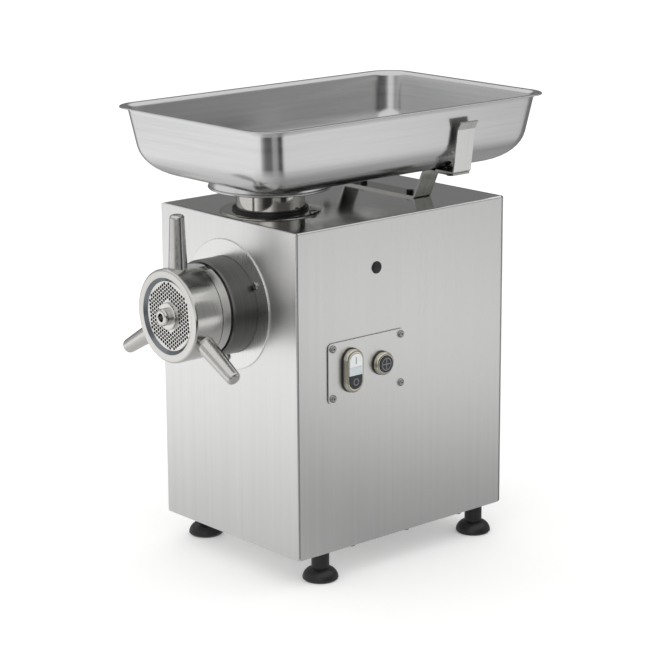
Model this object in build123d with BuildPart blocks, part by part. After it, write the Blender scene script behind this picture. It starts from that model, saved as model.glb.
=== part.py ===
"""Electric meat grinder: stainless case, horizontal grinding head, feed neck, drawn tray, geared motor.

Millimetres, +Z up, the front of the machine faces -Y and the push buttons are on the +X side.
The origin is the middle of the footprint of the whole machine, at the height of the worktop.
Depths are measured from the front face of the case, towards the back, and are negative for what
stands in front of it. Heights are above the worktop.
"""

import os
from math import acos, cos, pi, radians, sin, tan

from build123d import *

os.makedirs("parts", exist_ok=True)

# ---------------------------------------------------------------- driving dimensions
CASE_WIDTH = 256.0
CASE_DEPTH = 340.0
CASE_BOTTOM = 37.0
CASE_TOP = 437.0
SHEET = 1.5
CASE_SEAM = 1.8  # open joint between an end panel and the wrapper

HEAD_Z = 331.0  # height of the worm's axis
NOSE_REACH = 101.0  # how far the worm's journal stands in front of the case
TRAY_BACK = 405.0  # depth of the tray's rear rim
FRONT_Y = -(TRAY_BACK - NOSE_REACH) / 2  # the case's front face in the machine's frame

FOOT_X = 112.0
FOOT_DEPTHS = (48.0, 308.0)
FOOT_RADIUS = 22.0
FOOT_COLUMN = 11.0
FOOT_DOME = 15.2  # height of the domed base
FOOT_SOCKET = 12.0  # where the bolt's hole ends
FOOT_BORE = 4.2

DISC_RADIUS = 80.0
DISC_SCREW_CIRCLE = 64.8
COLLAR_RADIUS = 59.3
COLLAR_FRONT = -36.6
COLLAR_REAR = 14.0
BARREL_RADIUS = 50.0
BARREL_SHOULDER = 56.0
SHOULDER_REAR = -39.2
BARREL_STEP = 53.4  # between the shoulder and the collar
BARREL_NOSE = -85.2
BARREL_REAR = 150.0
RING_RADIUS = 56.6
RING_FRONT = -91.5
RING_REAR = -51.4
RING_OPENING = 46.4
RING_SEAT = 41.8  # where the ring's lip bears on the plate
HANDLE_REACH = 120.0
HANDLE_DEPTH = -73.2
PLATE_RADIUS = 44.6
PLATE_FRONT = -88.0
PLATE_BACK = -78.5
PLATE_HOLE = 1.85
PLATE_PITCH = 4.56
PLATE_TURN = radians(6)  # of the rows of holes
PLATE_FIELD = 41.3  # outer edge of the outermost holes
PLATE_BOSS = 16.4
PLATE_BOSS_FRONT = -92.4
KNIFE_BACK = -67.0
WORM_BORE = 38.0
WORM_RADIUS = 37.4
WORM_CORE = 15.2
WORM_PITCH = 44.0
WORM_REAR = 122.0
JOURNAL_RADIUS = 10.4
JOURNAL_SOCKET = 5.0
SHANK = 20.0

NECK_DEPTH = 69.0
NECK_RADIUS = 42.0
NECK_BORE = 38.5
THROAT_DISC = 62.0

TRAY_RIM = 562.0
TRAY_BOTTOM = 477.0
TRAY_HALF_WIDTH = 150.0
TRAY_FRONT = -61.5
TRAY_SHEET = 1.2
TRAY_LIP = 9.5
TRAY_SLOPE = radians(10)  # the walls lean out
TRAY_ROUND = 44.0  # radius between the walls and the bottom
TRAY_CORNER = 22.0  # corner radius of the walls, in plan

BRACKET_DEPTH = 260.0
BRACKET_WIDTH = 28.0
BRACKET_SHEET = 2.5
BRACKET_BOLT = 2.5  # radius of its bolts

MOTOR_Z = 187.0
COUNTER_Z = 251.0
MODULE = 2.0
MOTOR_TEETH, INTERMEDIATE_TEETH = 16, 48
PINION_TEETH, OUTPUT_TEETH = 17, 63
GEARBOX_FRONT = 205.0
GEARBOX_BACK = 280.0
GEARBOX_HALF = 75.0
GEARBOX_WALL = 8.0

PANEL_DEPTH = 108.9  # middle of the control plate
PANEL_Z = 260.0
PANEL_SIZE = (122.8, 74.3)
START_DEPTH = 83.0
REVERSE_DEPTH = 132.0
PLUG_DEPTH = 126.0
PLUG_Z = 378.4

SCREW_HOLE = 2.5  # clearance hole of the socket screws
BOLT_HOLE = 4.0  # hole of the 8 mm frame bolts

RIGHT = CASE_WIDTH / 2
BASE_FLOOR = CASE_BOTTOM + SHEET  # underside of the base plate
BASE_UPPER = BASE_FLOOR + 2.0
FEET = [(x, depth) for x in (-FOOT_X, FOOT_X) for depth in FOOT_DEPTHS]


# ---------------------------------------------------------------- places
def across(depth):
    """Plane parallel to the front face at a depth: +x is +X, +y is +Z, the normal points forward."""
    return Plane(origin=(0, FRONT_Y + depth, 0), x_dir=(1, 0, 0), z_dir=(0, -1, 0))


def level(height):
    """Horizontal plane at a height, with its origin over the middle of the case's front edge."""
    return Plane(origin=(0, FRONT_Y, height), x_dir=(1, 0, 0), z_dir=(0, 0, 1))


def side(x):
    """Plane parallel to the right-hand side at x: +x is the depth and +y the height."""
    return Plane(origin=(x, FRONT_Y, 0), x_dir=(0, 1, 0), z_dir=(1, 0, 0))


def spot(x, depth, z, outward):
    """Plane at one point, with its normal along outward."""
    return Plane(origin=(x, FRONT_Y + depth, z), z_dir=outward)


def around(count, radius, first=0.0, middle=HEAD_Z):
    """Places on a circle round a front-to-back axis, seen from the front."""
    angles = [radians(first + 360 * k / count) for k in range(count)]
    return [(radius * cos(a), middle + radius * sin(a)) for a in angles]


FORWARD = (0, -1, 0)
UP = (0, 0, 1)
OUT = (1, 0, 0)


# ---------------------------------------------------------------- shapes used by many pieces
def turned(place, *points, mode=Mode.ADD):
    """Turn a closed outline of (radius, distance along the place's normal) about that normal."""
    with BuildSketch(Plane(place.origin, x_dir=place.x_dir, z_dir=-place.y_dir)) as profile:
        with BuildLine():
            Polyline(*points, close=True)
        make_face()
    revolve(profile.sketch, axis=Axis(place.origin, place.z_dir), mode=mode)


def tube(place, outer, inner, near, far, mode=Mode.ADD):
    """A plain ring or tube about the place's normal, between two distances along it."""
    turned(place, (inner, near), (outer, near), (outer, far), (inner, far), mode=mode)


def round_head_screw(place, shank):
    """Socket screw with a rounded head that bears on the place."""
    with BuildSketch(Plane(place.origin, x_dir=place.x_dir, z_dir=-place.y_dir)) as profile:
        with BuildLine():
            Polyline((0, 2.6), (0, -shank), (2.4, -shank), (2.4, 0), (4.75, 0), (4.75, 0.8))
            RadiusArc((4.75, 0.8), (3.0, 2.6), -2.2)
            Line((3.0, 2.6), (0, 2.6))
        make_face()
    revolve(profile.sketch, axis=Axis(place.origin, place.z_dir))
    with BuildSketch(place.offset(2.6)) as socket:
        RegularPolygon(1.6, 6)
    extrude(socket.sketch, amount=-1.5, mode=Mode.SUBTRACT)


def hex_bolt(place, across_flats, head, radius, shank, nut=None):
    """Hexagon-headed bolt that bears on the place, with a nut at a distance under the head."""
    with BuildSketch(place) as hexagon:
        RegularPolygon(across_flats / 2, 6, major_radius=False)
    extrude(hexagon.sketch, amount=head)
    tube(place, radius, 0, -shank, 0)
    if nut is not None:
        with BuildSketch(place.offset(-nut)) as hexagon:
            RegularPolygon(across_flats / 2, 6, major_radius=False)
        extrude(hexagon.sketch, amount=-head)


def involute(angle):
    return tan(angle) - angle


def gear_outline(teeth, first_tooth, clearance=0.12):
    """Corner points of a spur gear with 20 degree involute teeth, one of them at first_tooth."""
    pressure = radians(20)
    pitch = MODULE * teeth / 2
    base = pitch * cos(pressure)
    root = pitch - 1.25 * MODULE
    tip = pitch + 0.9 * MODULE
    half_at_pitch = (pi * MODULE / 2 - clearance) / 2 / pitch

    def half_angle(radius):
        turned_in = acos(min(1.0, base / max(radius, base)))
        return half_at_pitch + involute(pressure) - involute(turned_in)

    radii = [root, (root + pitch) / 2 + 0.3, pitch, (pitch + tip) / 2, tip]
    points = []
    for tooth in range(teeth):
        middle = first_tooth + 2 * pi * tooth / teeth
        for radius in radii:
            angle = middle - half_angle(radius)
            points.append((radius * cos(angle), radius * sin(angle)))
        for radius in reversed(radii):
            angle = middle + half_angle(radius)
            points.append((radius * cos(angle), radius * sin(angle)))
    return points


def save(part, name):
    part.label = name
    export_step(part, f"parts/{name}.step")


# ---------------------------------------------------------------- feet and case
with BuildPart() as feet:
    for x, depth in FEET:
        with BuildSketch(Plane(origin=(x, FRONT_Y + depth, 0), x_dir=OUT, z_dir=FORWARD)):
            with BuildLine():
                Polyline((0, FOOT_SOCKET), (0, 0), (FOOT_RADIUS - 2, 0), (FOOT_RADIUS, 2), (FOOT_RADIUS, 4))
                ThreePointArc((FOOT_RADIUS, 4), (18.8, 10.6), (FOOT_COLUMN, FOOT_DOME))
                Polyline((FOOT_COLUMN, FOOT_DOME), (FOOT_COLUMN, BASE_FLOOR), (FOOT_BORE, BASE_FLOOR))
                Polyline((FOOT_BORE, BASE_FLOOR), (FOOT_BORE, FOOT_SOCKET), (0, FOOT_SOCKET))
            make_face()
        revolve(axis=Axis((x, FRONT_Y + depth, 0), UP))
save(feet.part, "feet")

BASE_SCREWS = [(x, depth) for x in (-122, 122) for depth in (90, 180, 270)]
SUPPORT_FOOT_BOLTS = [(-50, 45), (50, 45)]
STAND_FOOT_BOLTS = [(x, depth) for x in (-70, 70) for depth in (230, 255)]

with BuildPart() as base_plate:
    with BuildSketch(level(BASE_FLOOR)):
        with Locations((0, CASE_DEPTH / 2)):
            Rectangle(2 * (RIGHT - 3.4), CASE_DEPTH - 2 * SHEET - 0.4)
        with Locations(*FEET):
            Circle(FOOT_BORE, mode=Mode.SUBTRACT)
        with Locations(*BASE_SCREWS):
            Circle(SCREW_HOLE, mode=Mode.SUBTRACT)
        with Locations(*SUPPORT_FOOT_BOLTS, *STAND_FOOT_BOLTS):
            Circle(BOLT_HOLE, mode=Mode.SUBTRACT)
        with Locations(*[(0, 74 + 14 * k) for k in range(8)]):
            SlotOverall(70, 5, mode=Mode.SUBTRACT)
    extrude(amount=BASE_UPPER - BASE_FLOOR)
    with BuildSketch(level(BASE_UPPER)):
        with Locations((0, SHEET + 1), (0, CASE_DEPTH - SHEET - 1)):
            Rectangle(200, 1.5)
    extrude(amount=14)
save(base_plate.part, "base_plate")

WRAP_FRONT = SHEET + CASE_SEAM
WRAP_BACK = CASE_DEPTH - WRAP_FRONT
CASE_HEIGHT = CASE_TOP - CASE_BOTTOM
CASE_MIDDLE_Z = (CASE_TOP + CASE_BOTTOM) / 2
THROAT_SCREWS = [(57 * cos(a), NECK_DEPTH + 57 * sin(a)) for a in (radians(24), radians(144))]
BRACKET_BOLTS_X = (-43.0, 43.0)
PANEL_SCREWS = [
    (PANEL_DEPTH + a * (PANEL_SIZE[0] / 2 - 6.7), PANEL_Z + b * (PANEL_SIZE[1] / 2 - 6.7))
    for a in (-1, 1)
    for b in (-1, 1)
]

with BuildPart() as case_wrapper:
    with BuildSketch(across(WRAP_BACK)):
        with BuildLine():
            FilletPolyline(
                (RIGHT, CASE_BOTTOM), (RIGHT, CASE_TOP), (-RIGHT, CASE_TOP), (-RIGHT, CASE_BOTTOM),
                radius=2.5,
            )
            FilletPolyline(
                (-RIGHT, CASE_BOTTOM),
                (-RIGHT + SHEET, CASE_BOTTOM),
                (-RIGHT + SHEET, CASE_TOP - SHEET),
                (RIGHT - SHEET, CASE_TOP - SHEET),
                (RIGHT - SHEET, CASE_BOTTOM),
                (RIGHT, CASE_BOTTOM),
                radius=0.01,
            )
        make_face()
    extrude(amount=WRAP_BACK - WRAP_FRONT)
    for x in (-1, 1):
        with BuildSketch(level(CASE_BOTTOM)):
            with Locations((x * (RIGHT - SHEET - 4.5), CASE_DEPTH / 2)):
                Rectangle(9, 210)
            with Locations(*[(x * 122, depth) for depth in (90, 180, 270)]):
                Circle(SCREW_HOLE, mode=Mode.SUBTRACT)
        extrude(amount=SHEET)
    with BuildSketch(level(CASE_TOP)):
        with Locations((0, NECK_DEPTH)):
            Circle(NECK_RADIUS + 0.5)
        with Locations(*[(x, BRACKET_DEPTH) for x in BRACKET_BOLTS_X]):
            Circle(BRACKET_BOLT + 0.3)
        with Locations(*THROAT_SCREWS):
            Circle(SCREW_HOLE)
    extrude(amount=-SHEET - 1, mode=Mode.SUBTRACT)
    with BuildSketch(side(RIGHT + 1)):
        with Locations((PANEL_DEPTH, PANEL_Z)):
            Rectangle(96, 50)
        with Locations(*PANEL_SCREWS):
            Circle(SCREW_HOLE)
        with Locations((PLUG_DEPTH, PLUG_Z)):
            Circle(6.1)
    extrude(amount=-SHEET - 2, mode=Mode.SUBTRACT)
save(case_wrapper.part, "case_wrapper")

FLANGE_X = RIGHT - SHEET - 0.2
FLANGE_TOP = CASE_TOP - SHEET - 0.2
FLANGE_FOOT = BASE_UPPER + 1


def return_flange(depth):
    """Edge strip behind an end panel that the wrapper slides over: both sides and the top."""
    with BuildSketch(across(depth)) as strip:
        with Locations((0, (FLANGE_TOP + FLANGE_FOOT) / 2)):
            Rectangle(2 * FLANGE_X, FLANGE_TOP - FLANGE_FOOT)
        with Locations((0, (FLANGE_TOP + FLANGE_FOOT) / 2 - SHEET)):
            Rectangle(2 * (FLANGE_X - SHEET), FLANGE_TOP - FLANGE_FOOT, mode=Mode.SUBTRACT)
    extrude(strip.sketch, amount=18)


with BuildPart() as front_panel:
    with BuildSketch(across(SHEET)):
        with Locations((0, CASE_MIDDLE_Z)):
            RectangleRounded(CASE_WIDTH, CASE_HEIGHT, 2.0)
    extrude(amount=SHEET)
    fillet(front_panel.faces().sort_by(Axis.Y)[0].outer_wire().edges(), 1.0)
    return_flange(SHEET + 18)
    with BuildSketch(across(-1)):
        with Locations((0, HEAD_Z)):
            Circle(COLLAR_RADIUS + 0.3)
        with Locations(*around(3, DISC_SCREW_CIRCLE, 30)):
            Circle(SCREW_HOLE)
    extrude(amount=-SHEET - 2, mode=Mode.SUBTRACT)
save(front_panel.part, "front_panel")

GLAND_X, GLAND_Z = 88.0, 84.0
REAR_SCREWS = [(x, z) for x in (-116, 116) for z in (60, 237, 418)]

with BuildPart() as rear_panel:
    with BuildSketch(across(CASE_DEPTH)):
        with Locations((0, CASE_MIDDLE_Z)):
            RectangleRounded(CASE_WIDTH, CASE_HEIGHT, 2.0)
    extrude(amount=SHEET)
    fillet(rear_panel.faces().sort_by(Axis.Y)[-1].outer_wire().edges(), 1.0)
    return_flange(CASE_DEPTH - SHEET)
    with BuildSketch(across(CASE_DEPTH + 1)):
        for row in range(7):
            with Locations((-36, 120 + 16 * row), (36, 120 + 16 * row)):
                SlotOverall(60, 5)
        with Locations((GLAND_X, GLAND_Z)):
            Circle(8.2)
        with Locations(*REAR_SCREWS):
            Circle(SCREW_HOLE)
    extrude(amount=SHEET + 2, mode=Mode.SUBTRACT)
save(rear_panel.part, "rear_panel")

with BuildPart() as case_screws:
    for x, z in REAR_SCREWS:
        round_head_screw(spot(x, CASE_DEPTH, z, (0, 1, 0)), 10)
    for x, depth in BASE_SCREWS:
        round_head_screw(spot(x, depth, CASE_BOTTOM, (0, 0, -1)), 8)
save(case_screws.part, "case_screws")

with BuildPart() as cable_gland:
    gland = spot(GLAND_X, CASE_DEPTH, GLAND_Z, (0, 1, 0))
    turned(gland, (5, -14), (8, -14), (8, 0), (12.5, 0), (12.5, 3), (5, 3))
    with BuildSketch(gland.offset(3)):
        RegularPolygon(11, 6, major_radius=False)
        Circle(5, mode=Mode.SUBTRACT)
    extrude(amount=6)
    turned(gland, (5, 9), (10, 9), (8.5, 17), (5, 18))
    with BuildSketch(gland.offset(-SHEET)):
        RegularPolygon(12, 6, major_radius=False)
        Circle(8, mode=Mode.SUBTRACT)
    extrude(amount=-4)
save(cable_gland.part, "cable_gland")

with BuildPart() as side_plug:
    turned(
        spot(RIGHT, PLUG_DEPTH, PLUG_Z, OUT),
        (0, -5), (5.2, -5), (6.0, -2.4), (6.0, 0), (7.6, 0), (7.3, 1.0), (5.6, 1.9), (0, 2.3),
    )
save(side_plug.part, "side_plug")

# ---------------------------------------------------------------- head: what stays in the case
HEAD = spot(0, 0, HEAD_Z, (0, 1, 0))  # the worm's axis: distances along it are depths

with BuildPart() as flange_disc:
    with BuildSketch(across(0)):
        with Locations((0, HEAD_Z)):
            Circle(DISC_RADIUS)
            Circle(COLLAR_RADIUS + 0.3, mode=Mode.SUBTRACT)
        with Locations(*around(3, DISC_SCREW_CIRCLE, 30)):
            Circle(SCREW_HOLE, mode=Mode.SUBTRACT)
    extrude(amount=SHEET)
    fillet(flange_disc.faces().sort_by(Axis.Y)[0].outer_wire().edges(), 0.7)
save(flange_disc.part, "flange_disc")

SUPPORT_BOLT_CIRCLE = 54.7
KEY_WIDTH, KEY_LENGTH, KEY_HEIGHT = 9.6, 7.0, 3.2
KEY_ANGLE = 15.0  # from the top, towards the right-hand side
SLOT_DEPTH = 3.4  # notch in the barrel's shoulder, in line with the key
PIN_RADIUS = 2.4
PIN_FRONT, PIN_BACK = -87.0, -76.7


def key_place(radius):
    """Where a box stands on the barrel at the key, in the plane of a cross-section."""
    angle = radians(KEY_ANGLE)
    return Locations(Location((radius * sin(angle), HEAD_Z + radius * cos(angle)), -KEY_ANGLE))


with BuildPart() as mount_collar:
    turned(
        HEAD,
        (BARREL_RADIUS + 0.1, COLLAR_FRONT),
        (COLLAR_RADIUS - 2.0, COLLAR_FRONT),
        (COLLAR_RADIUS, COLLAR_FRONT + 2.0),
        (COLLAR_RADIUS, COLLAR_REAR),
        (BARREL_RADIUS + 0.1, COLLAR_REAR),
    )
    with BuildSketch(across(COLLAR_FRONT - 1)):
        with key_place(BARREL_RADIUS + KEY_HEIGHT / 2):
            Rectangle(KEY_WIDTH + 0.4, KEY_HEIGHT + 0.4)
    extrude(amount=-KEY_LENGTH - 1.3, mode=Mode.SUBTRACT)
    with BuildSketch(across(COLLAR_REAR)):
        with Locations(*around(4, SUPPORT_BOLT_CIRCLE, 45)):
            Circle(SCREW_HOLE)
    extrude(amount=12, mode=Mode.SUBTRACT)
save(mount_collar.part, "mount_collar")

NECK = Plane(origin=(0, FRONT_Y + NECK_DEPTH, 0), x_dir=OUT, z_dir=UP)
PIN = spot(0, 0, HEAD_Z + PLATE_RADIUS, (0, 1, 0))  # the pin that keeps the plate from turning
NECK_SEAT = 395.0  # where the neck tube stands in the barrel's boss
BOSS_TOP = 433.0

with BuildPart() as grinding_barrel:
    turned(
        HEAD,
        (0, BARREL_NOSE),
        (BARREL_RADIUS - 1.5, BARREL_NOSE),
        (BARREL_RADIUS, BARREL_NOSE + 1.5),
        (BARREL_RADIUS, RING_REAR + 0.6),
        (BARREL_SHOULDER, RING_REAR + 0.6),
        (BARREL_SHOULDER, SHOULDER_REAR),
        (BARREL_STEP, SHOULDER_REAR),
        (BARREL_STEP, COLLAR_FRONT - 0.1),
        (BARREL_RADIUS, COLLAR_FRONT - 0.1),
        (BARREL_RADIUS, BARREL_REAR),
        (0, BARREL_REAR),
    )
    turned(NECK, (0, HEAD_Z), (47, HEAD_Z), (47, BOSS_TOP), (0, BOSS_TOP))
    turned(
        HEAD,
        (0, BARREL_NOSE - 1),
        (PLATE_RADIUS + 0.1, BARREL_NOSE - 1),
        (PLATE_RADIUS + 0.1, KNIFE_BACK),
        (WORM_BORE, KNIFE_BACK),
        (WORM_BORE, WORM_REAR + 3),
        (SHANK + 0.5, WORM_REAR + 3),
        (SHANK + 0.5, BARREL_REAR + 1),
        (0, BARREL_REAR + 1),
        mode=Mode.SUBTRACT,
    )
    turned(NECK, (0, HEAD_Z), (36, HEAD_Z), (36, NECK_SEAT), (0, NECK_SEAT), mode=Mode.SUBTRACT)
    turned(
        NECK,
        (0, NECK_SEAT), (NECK_RADIUS, NECK_SEAT), (NECK_RADIUS, BOSS_TOP + 1), (0, BOSS_TOP + 1),
        mode=Mode.SUBTRACT,
    )
    tube(PIN, PIN_RADIUS + 0.1, 0, BARREL_NOSE - 1, PIN_BACK + 0.2, mode=Mode.SUBTRACT)
    with BuildSketch(across(RING_REAR)):
        with key_place(BARREL_SHOULDER):
            Rectangle(KEY_WIDTH + 0.4, 2 * SLOT_DEPTH)
    extrude(amount=RING_REAR - SHOULDER_REAR - 1, mode=Mode.SUBTRACT)
save(grinding_barrel.part, "grinding_barrel")

with BuildPart() as locating_keys:
    with BuildSketch(across(COLLAR_FRONT - 0.1)):
        with key_place(BARREL_RADIUS + KEY_HEIGHT / 2 - 0.4):
            Rectangle(KEY_WIDTH, KEY_HEIGHT + 0.8)
        with Locations((0, HEAD_Z)):
            Circle(BARREL_RADIUS, mode=Mode.SUBTRACT)
    extrude(amount=-KEY_LENGTH)
    tube(PIN, PIN_RADIUS, 0, PIN_FRONT, PIN_BACK)
save(locating_keys.part, "locating_keys")

SUPPORT_SHEET = 6.0
SUPPORT_TOP = 398.0
SUPPORT_REAR = COLLAR_REAR + SUPPORT_SHEET

with BuildPart() as barrel_support:
    with BuildSketch(across(SUPPORT_REAR)):
        with Locations((0, (BASE_UPPER + SUPPORT_TOP) / 2)):
            Rectangle(150, SUPPORT_TOP - BASE_UPPER)
        with Locations((0, HEAD_Z)):
            Circle(BARREL_RADIUS + 0.1, mode=Mode.SUBTRACT)
        with Locations(*around(4, SUPPORT_BOLT_CIRCLE, 45)):
            Circle(SCREW_HOLE, mode=Mode.SUBTRACT)
        with Locations((0, MOTOR_Z)):
            Circle(48, mode=Mode.SUBTRACT)
    extrude(amount=SUPPORT_SHEET)
    with BuildSketch(level(BASE_UPPER)):
        with Locations((0, SUPPORT_REAR + 20)):
            Rectangle(150, 40)
        with Locations(*SUPPORT_FOOT_BOLTS):
            Circle(4.2, mode=Mode.SUBTRACT)
    extrude(amount=SUPPORT_SHEET)
save(barrel_support.part, "barrel_support")

with BuildPart() as shaft_seal:
    tube(HEAD, 33, SHANK, BARREL_REAR + 0.5, BARREL_REAR + 8)
save(shaft_seal.part, "shaft_seal")

# ---------------------------------------------------------------- feed neck
with BuildPart() as neck_tube:
    turned(
        NECK,
        (NECK_BORE, NECK_SEAT),
        (NECK_RADIUS, NECK_SEAT),
        (NECK_RADIUS, TRAY_BOTTOM - 1.5),
        (NECK_RADIUS - 1, TRAY_BOTTOM - 0.5),
        (NECK_BORE, TRAY_BOTTOM - 0.5),
    )
save(neck_tube.part, "neck_tube")

DISC_UPPER = CASE_TOP + 2.0
with BuildPart() as throat_disc:
    turned(
        NECK,
        (NECK_RADIUS + 0.2, DISC_UPPER - 1.2),
        (THROAT_DISC - 3, DISC_UPPER - 1.2),
        (THROAT_DISC - 1.6, CASE_TOP),
        (THROAT_DISC - 0.4, CASE_TOP),
        (THROAT_DISC, CASE_TOP + 0.8),
        (THROAT_DISC - 1.2, DISC_UPPER),
        (NECK_RADIUS + 0.2, DISC_UPPER),
    )
    with BuildSketch(level(DISC_UPPER + 1)):
        with Locations(*THROAT_SCREWS):
            Circle(SCREW_HOLE)
    extrude(amount=-4, mode=Mode.SUBTRACT)
save(throat_disc.part, "throat_disc")

with BuildPart() as throat_base_ring:
    turned(
        NECK,
        (NECK_RADIUS + 0.2, DISC_UPPER),
        (46.5, DISC_UPPER),
        (46.5, DISC_UPPER + 2.4),
        (45.5, DISC_UPPER + 3.4),
        (NECK_RADIUS + 0.2, DISC_UPPER + 3.4),
    )
save(throat_base_ring.part, "throat_base_ring")

# ---------------------------------------------------------------- perforated plate
PLATE_ROW = PLATE_PITCH * cos(pi / 6)
GRID = [
    (column * PLATE_ROW, (row + (column % 2) / 2) * PLATE_PITCH)
    for column in range(-10, 11)
    for row in range(-10, 11)
]
PLATE_HOLES = [
    (x * cos(PLATE_TURN) - z * sin(PLATE_TURN), HEAD_Z + x * sin(PLATE_TURN) + z * cos(PLATE_TURN))
    for x, z in GRID
    if PLATE_BOSS + PLATE_HOLE + 0.5 < (x**2 + z**2) ** 0.5 < PLATE_FIELD - PLATE_HOLE
]

with BuildPart() as hole_plate:
    with BuildSketch(across(PLATE_BACK)):
        with Locations((0, HEAD_Z)):
            Circle(PLATE_RADIUS)
            Circle(JOURNAL_RADIUS + 0.05, mode=Mode.SUBTRACT)
        with Locations((0, HEAD_Z + PLATE_RADIUS)):
            Circle(PIN_RADIUS + 0.1, mode=Mode.SUBTRACT)
        with Locations(*PLATE_HOLES):
            Circle(PLATE_HOLE, mode=Mode.SUBTRACT)
    extrude(amount=PLATE_BACK - PLATE_FRONT)
    turned(
        HEAD,
        (JOURNAL_RADIUS + 0.05, PLATE_FRONT), (PLATE_BOSS, PLATE_FRONT),
        (PLATE_BOSS, PLATE_BOSS_FRONT + 0.8), (PLATE_BOSS - 0.8, PLATE_BOSS_FRONT),
        (JOURNAL_RADIUS + 0.05, PLATE_BOSS_FRONT),
    )
save(hole_plate.part, "hole_plate")

# ---------------------------------------------------------------- ring nut with its handles
with BuildPart() as ring_nut:
    turned(
        HEAD,
        (BARREL_RADIUS + 0.4, RING_REAR),
        (RING_RADIUS - 0.8, RING_REAR),
        (RING_RADIUS, RING_REAR - 0.8),
        (RING_RADIUS, RING_FRONT + 2.8),
        (RING_RADIUS - 0.4, RING_FRONT + 1.4),
        (RING_RADIUS - 1.4, RING_FRONT + 0.4),
        (RING_RADIUS - 2.8, RING_FRONT),
        (RING_OPENING, RING_FRONT),
        (RING_SEAT, PLATE_FRONT - 0.1),
        (BARREL_RADIUS + 0.4, PLATE_FRONT - 0.1),
    )
save(ring_nut.part, "ring_nut")

HANDLE_ROOT = 11.6
HANDLE_TIP = 8.9
HANDLE_ROUND = 4.0

with BuildPart() as ring_handles:
    for angle in (90, 210, 330):
        outward = (cos(radians(angle)), 0, sin(radians(angle)))
        across_handle = (-outward[2], 0, outward[0])
        foot = (0, FRONT_Y + HANDLE_DEPTH, HEAD_Z)
        with BuildSketch(Plane(foot, x_dir=outward, z_dir=FORWARD)):
            with BuildLine():
                Polyline(
                    (HANDLE_REACH - HANDLE_ROUND, HANDLE_TIP), (BARREL_RADIUS, HANDLE_ROOT),
                    (BARREL_RADIUS, 0), (HANDLE_REACH, 0), (HANDLE_REACH, HANDLE_TIP - HANDLE_ROUND),
                )
                RadiusArc(
                    (HANDLE_REACH - HANDLE_ROUND, HANDLE_TIP),
                    (HANDLE_REACH, HANDLE_TIP - HANDLE_ROUND),
                    HANDLE_ROUND,
                )
            make_face()
        revolve(axis=Axis(foot, outward))
    turned(
        HEAD,
        (0, RING_FRONT - 5), (RING_RADIUS, RING_FRONT - 5), (RING_RADIUS, -40), (0, -40),
        mode=Mode.SUBTRACT,
    )
save(ring_handles.part, "ring_handles")

# ---------------------------------------------------------------- worm and knife
KNIFE_FRONT = PLATE_BACK + 0.1
KNIFE_SQUARE = 21.2
KNIFE_REACH = 40.6
WORM_DISC = 6.0  # thickness of the disc behind the flight
FLIGHT_START = KNIFE_BACK + 4.0
FLIGHT_LENGTH = WORM_REAR - WORM_DISC - FLIGHT_START
FLIGHT_SHEET = 5.0  # thickness along the axis
FLIGHT_ANGLE = 360 * FLIGHT_SHEET / WORM_PITCH

with BuildSketch(spot(0, FLIGHT_START, HEAD_Z, (0, 1, 0))) as flight_section:
    with BuildLine():
        flight_side = PolarLine((0, 0), WORM_RADIUS, -FLIGHT_ANGLE / 2)
        flight_rim = CenterArc((0, 0), WORM_RADIUS, -FLIGHT_ANGLE / 2, FLIGHT_ANGLE)
        Line(flight_rim @ 1, (0, 0))
    make_face()
    Circle(WORM_CORE - 1, mode=Mode.SUBTRACT)

flight = Solid.extrude_linear_with_rotation(
    flight_section.sketch.face(),
    (0, FRONT_Y + FLIGHT_START, HEAD_Z),
    (0, FLIGHT_LENGTH, 0),
    360 * FLIGHT_LENGTH / WORM_PITCH,
)

with BuildPart() as worm:
    turned(
        HEAD,
        (0, -NOSE_REACH + 14),
        (JOURNAL_SOCKET, -NOSE_REACH + 14),
        (JOURNAL_SOCKET, -NOSE_REACH + 0.6),
        (JOURNAL_SOCKET + 0.6, -NOSE_REACH),
        (JOURNAL_RADIUS - 2.6, -NOSE_REACH),
        (JOURNAL_RADIUS - 0.8, -NOSE_REACH + 0.8),
        (JOURNAL_RADIUS, -NOSE_REACH + 2.6),
        (JOURNAL_RADIUS, PLATE_BACK + 0.2),
        (JOURNAL_RADIUS - 3, PLATE_BACK + 0.2),
        (JOURNAL_RADIUS - 3, KNIFE_BACK + 0.5),
        (WORM_CORE, KNIFE_BACK + 0.5),
        (WORM_CORE, WORM_REAR),
        (0, WORM_REAR),
    )
    with BuildSketch(across(KNIFE_BACK + 0.5)):
        with Locations((0, HEAD_Z)):
            Rectangle(KNIFE_SQUARE, KNIFE_SQUARE)
    extrude(amount=KNIFE_BACK + 0.5 - PLATE_BACK - 0.2)
    tube(HEAD, WORM_RADIUS, 0, WORM_REAR - WORM_DISC, WORM_REAR)
    with BuildSketch(across(WORM_REAR + 44)):
        with Locations((0, HEAD_Z)):
            Rectangle(SHANK - 0.2, SHANK - 0.2)
    extrude(amount=44)
    add(flight)
save(worm.part, "worm")

with BuildPart() as cross_knife:
    with BuildSketch(across(KNIFE_BACK)):
        with Locations((0, HEAD_Z)):
            Circle(19)
            Rectangle(11, 2 * KNIFE_REACH)
            Rectangle(2 * KNIFE_REACH, 11)
            Rectangle(KNIFE_SQUARE + 0.1, KNIFE_SQUARE + 0.1, mode=Mode.SUBTRACT)
    extrude(amount=KNIFE_BACK - KNIFE_FRONT)
save(cross_knife.part, "cross_knife")

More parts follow.
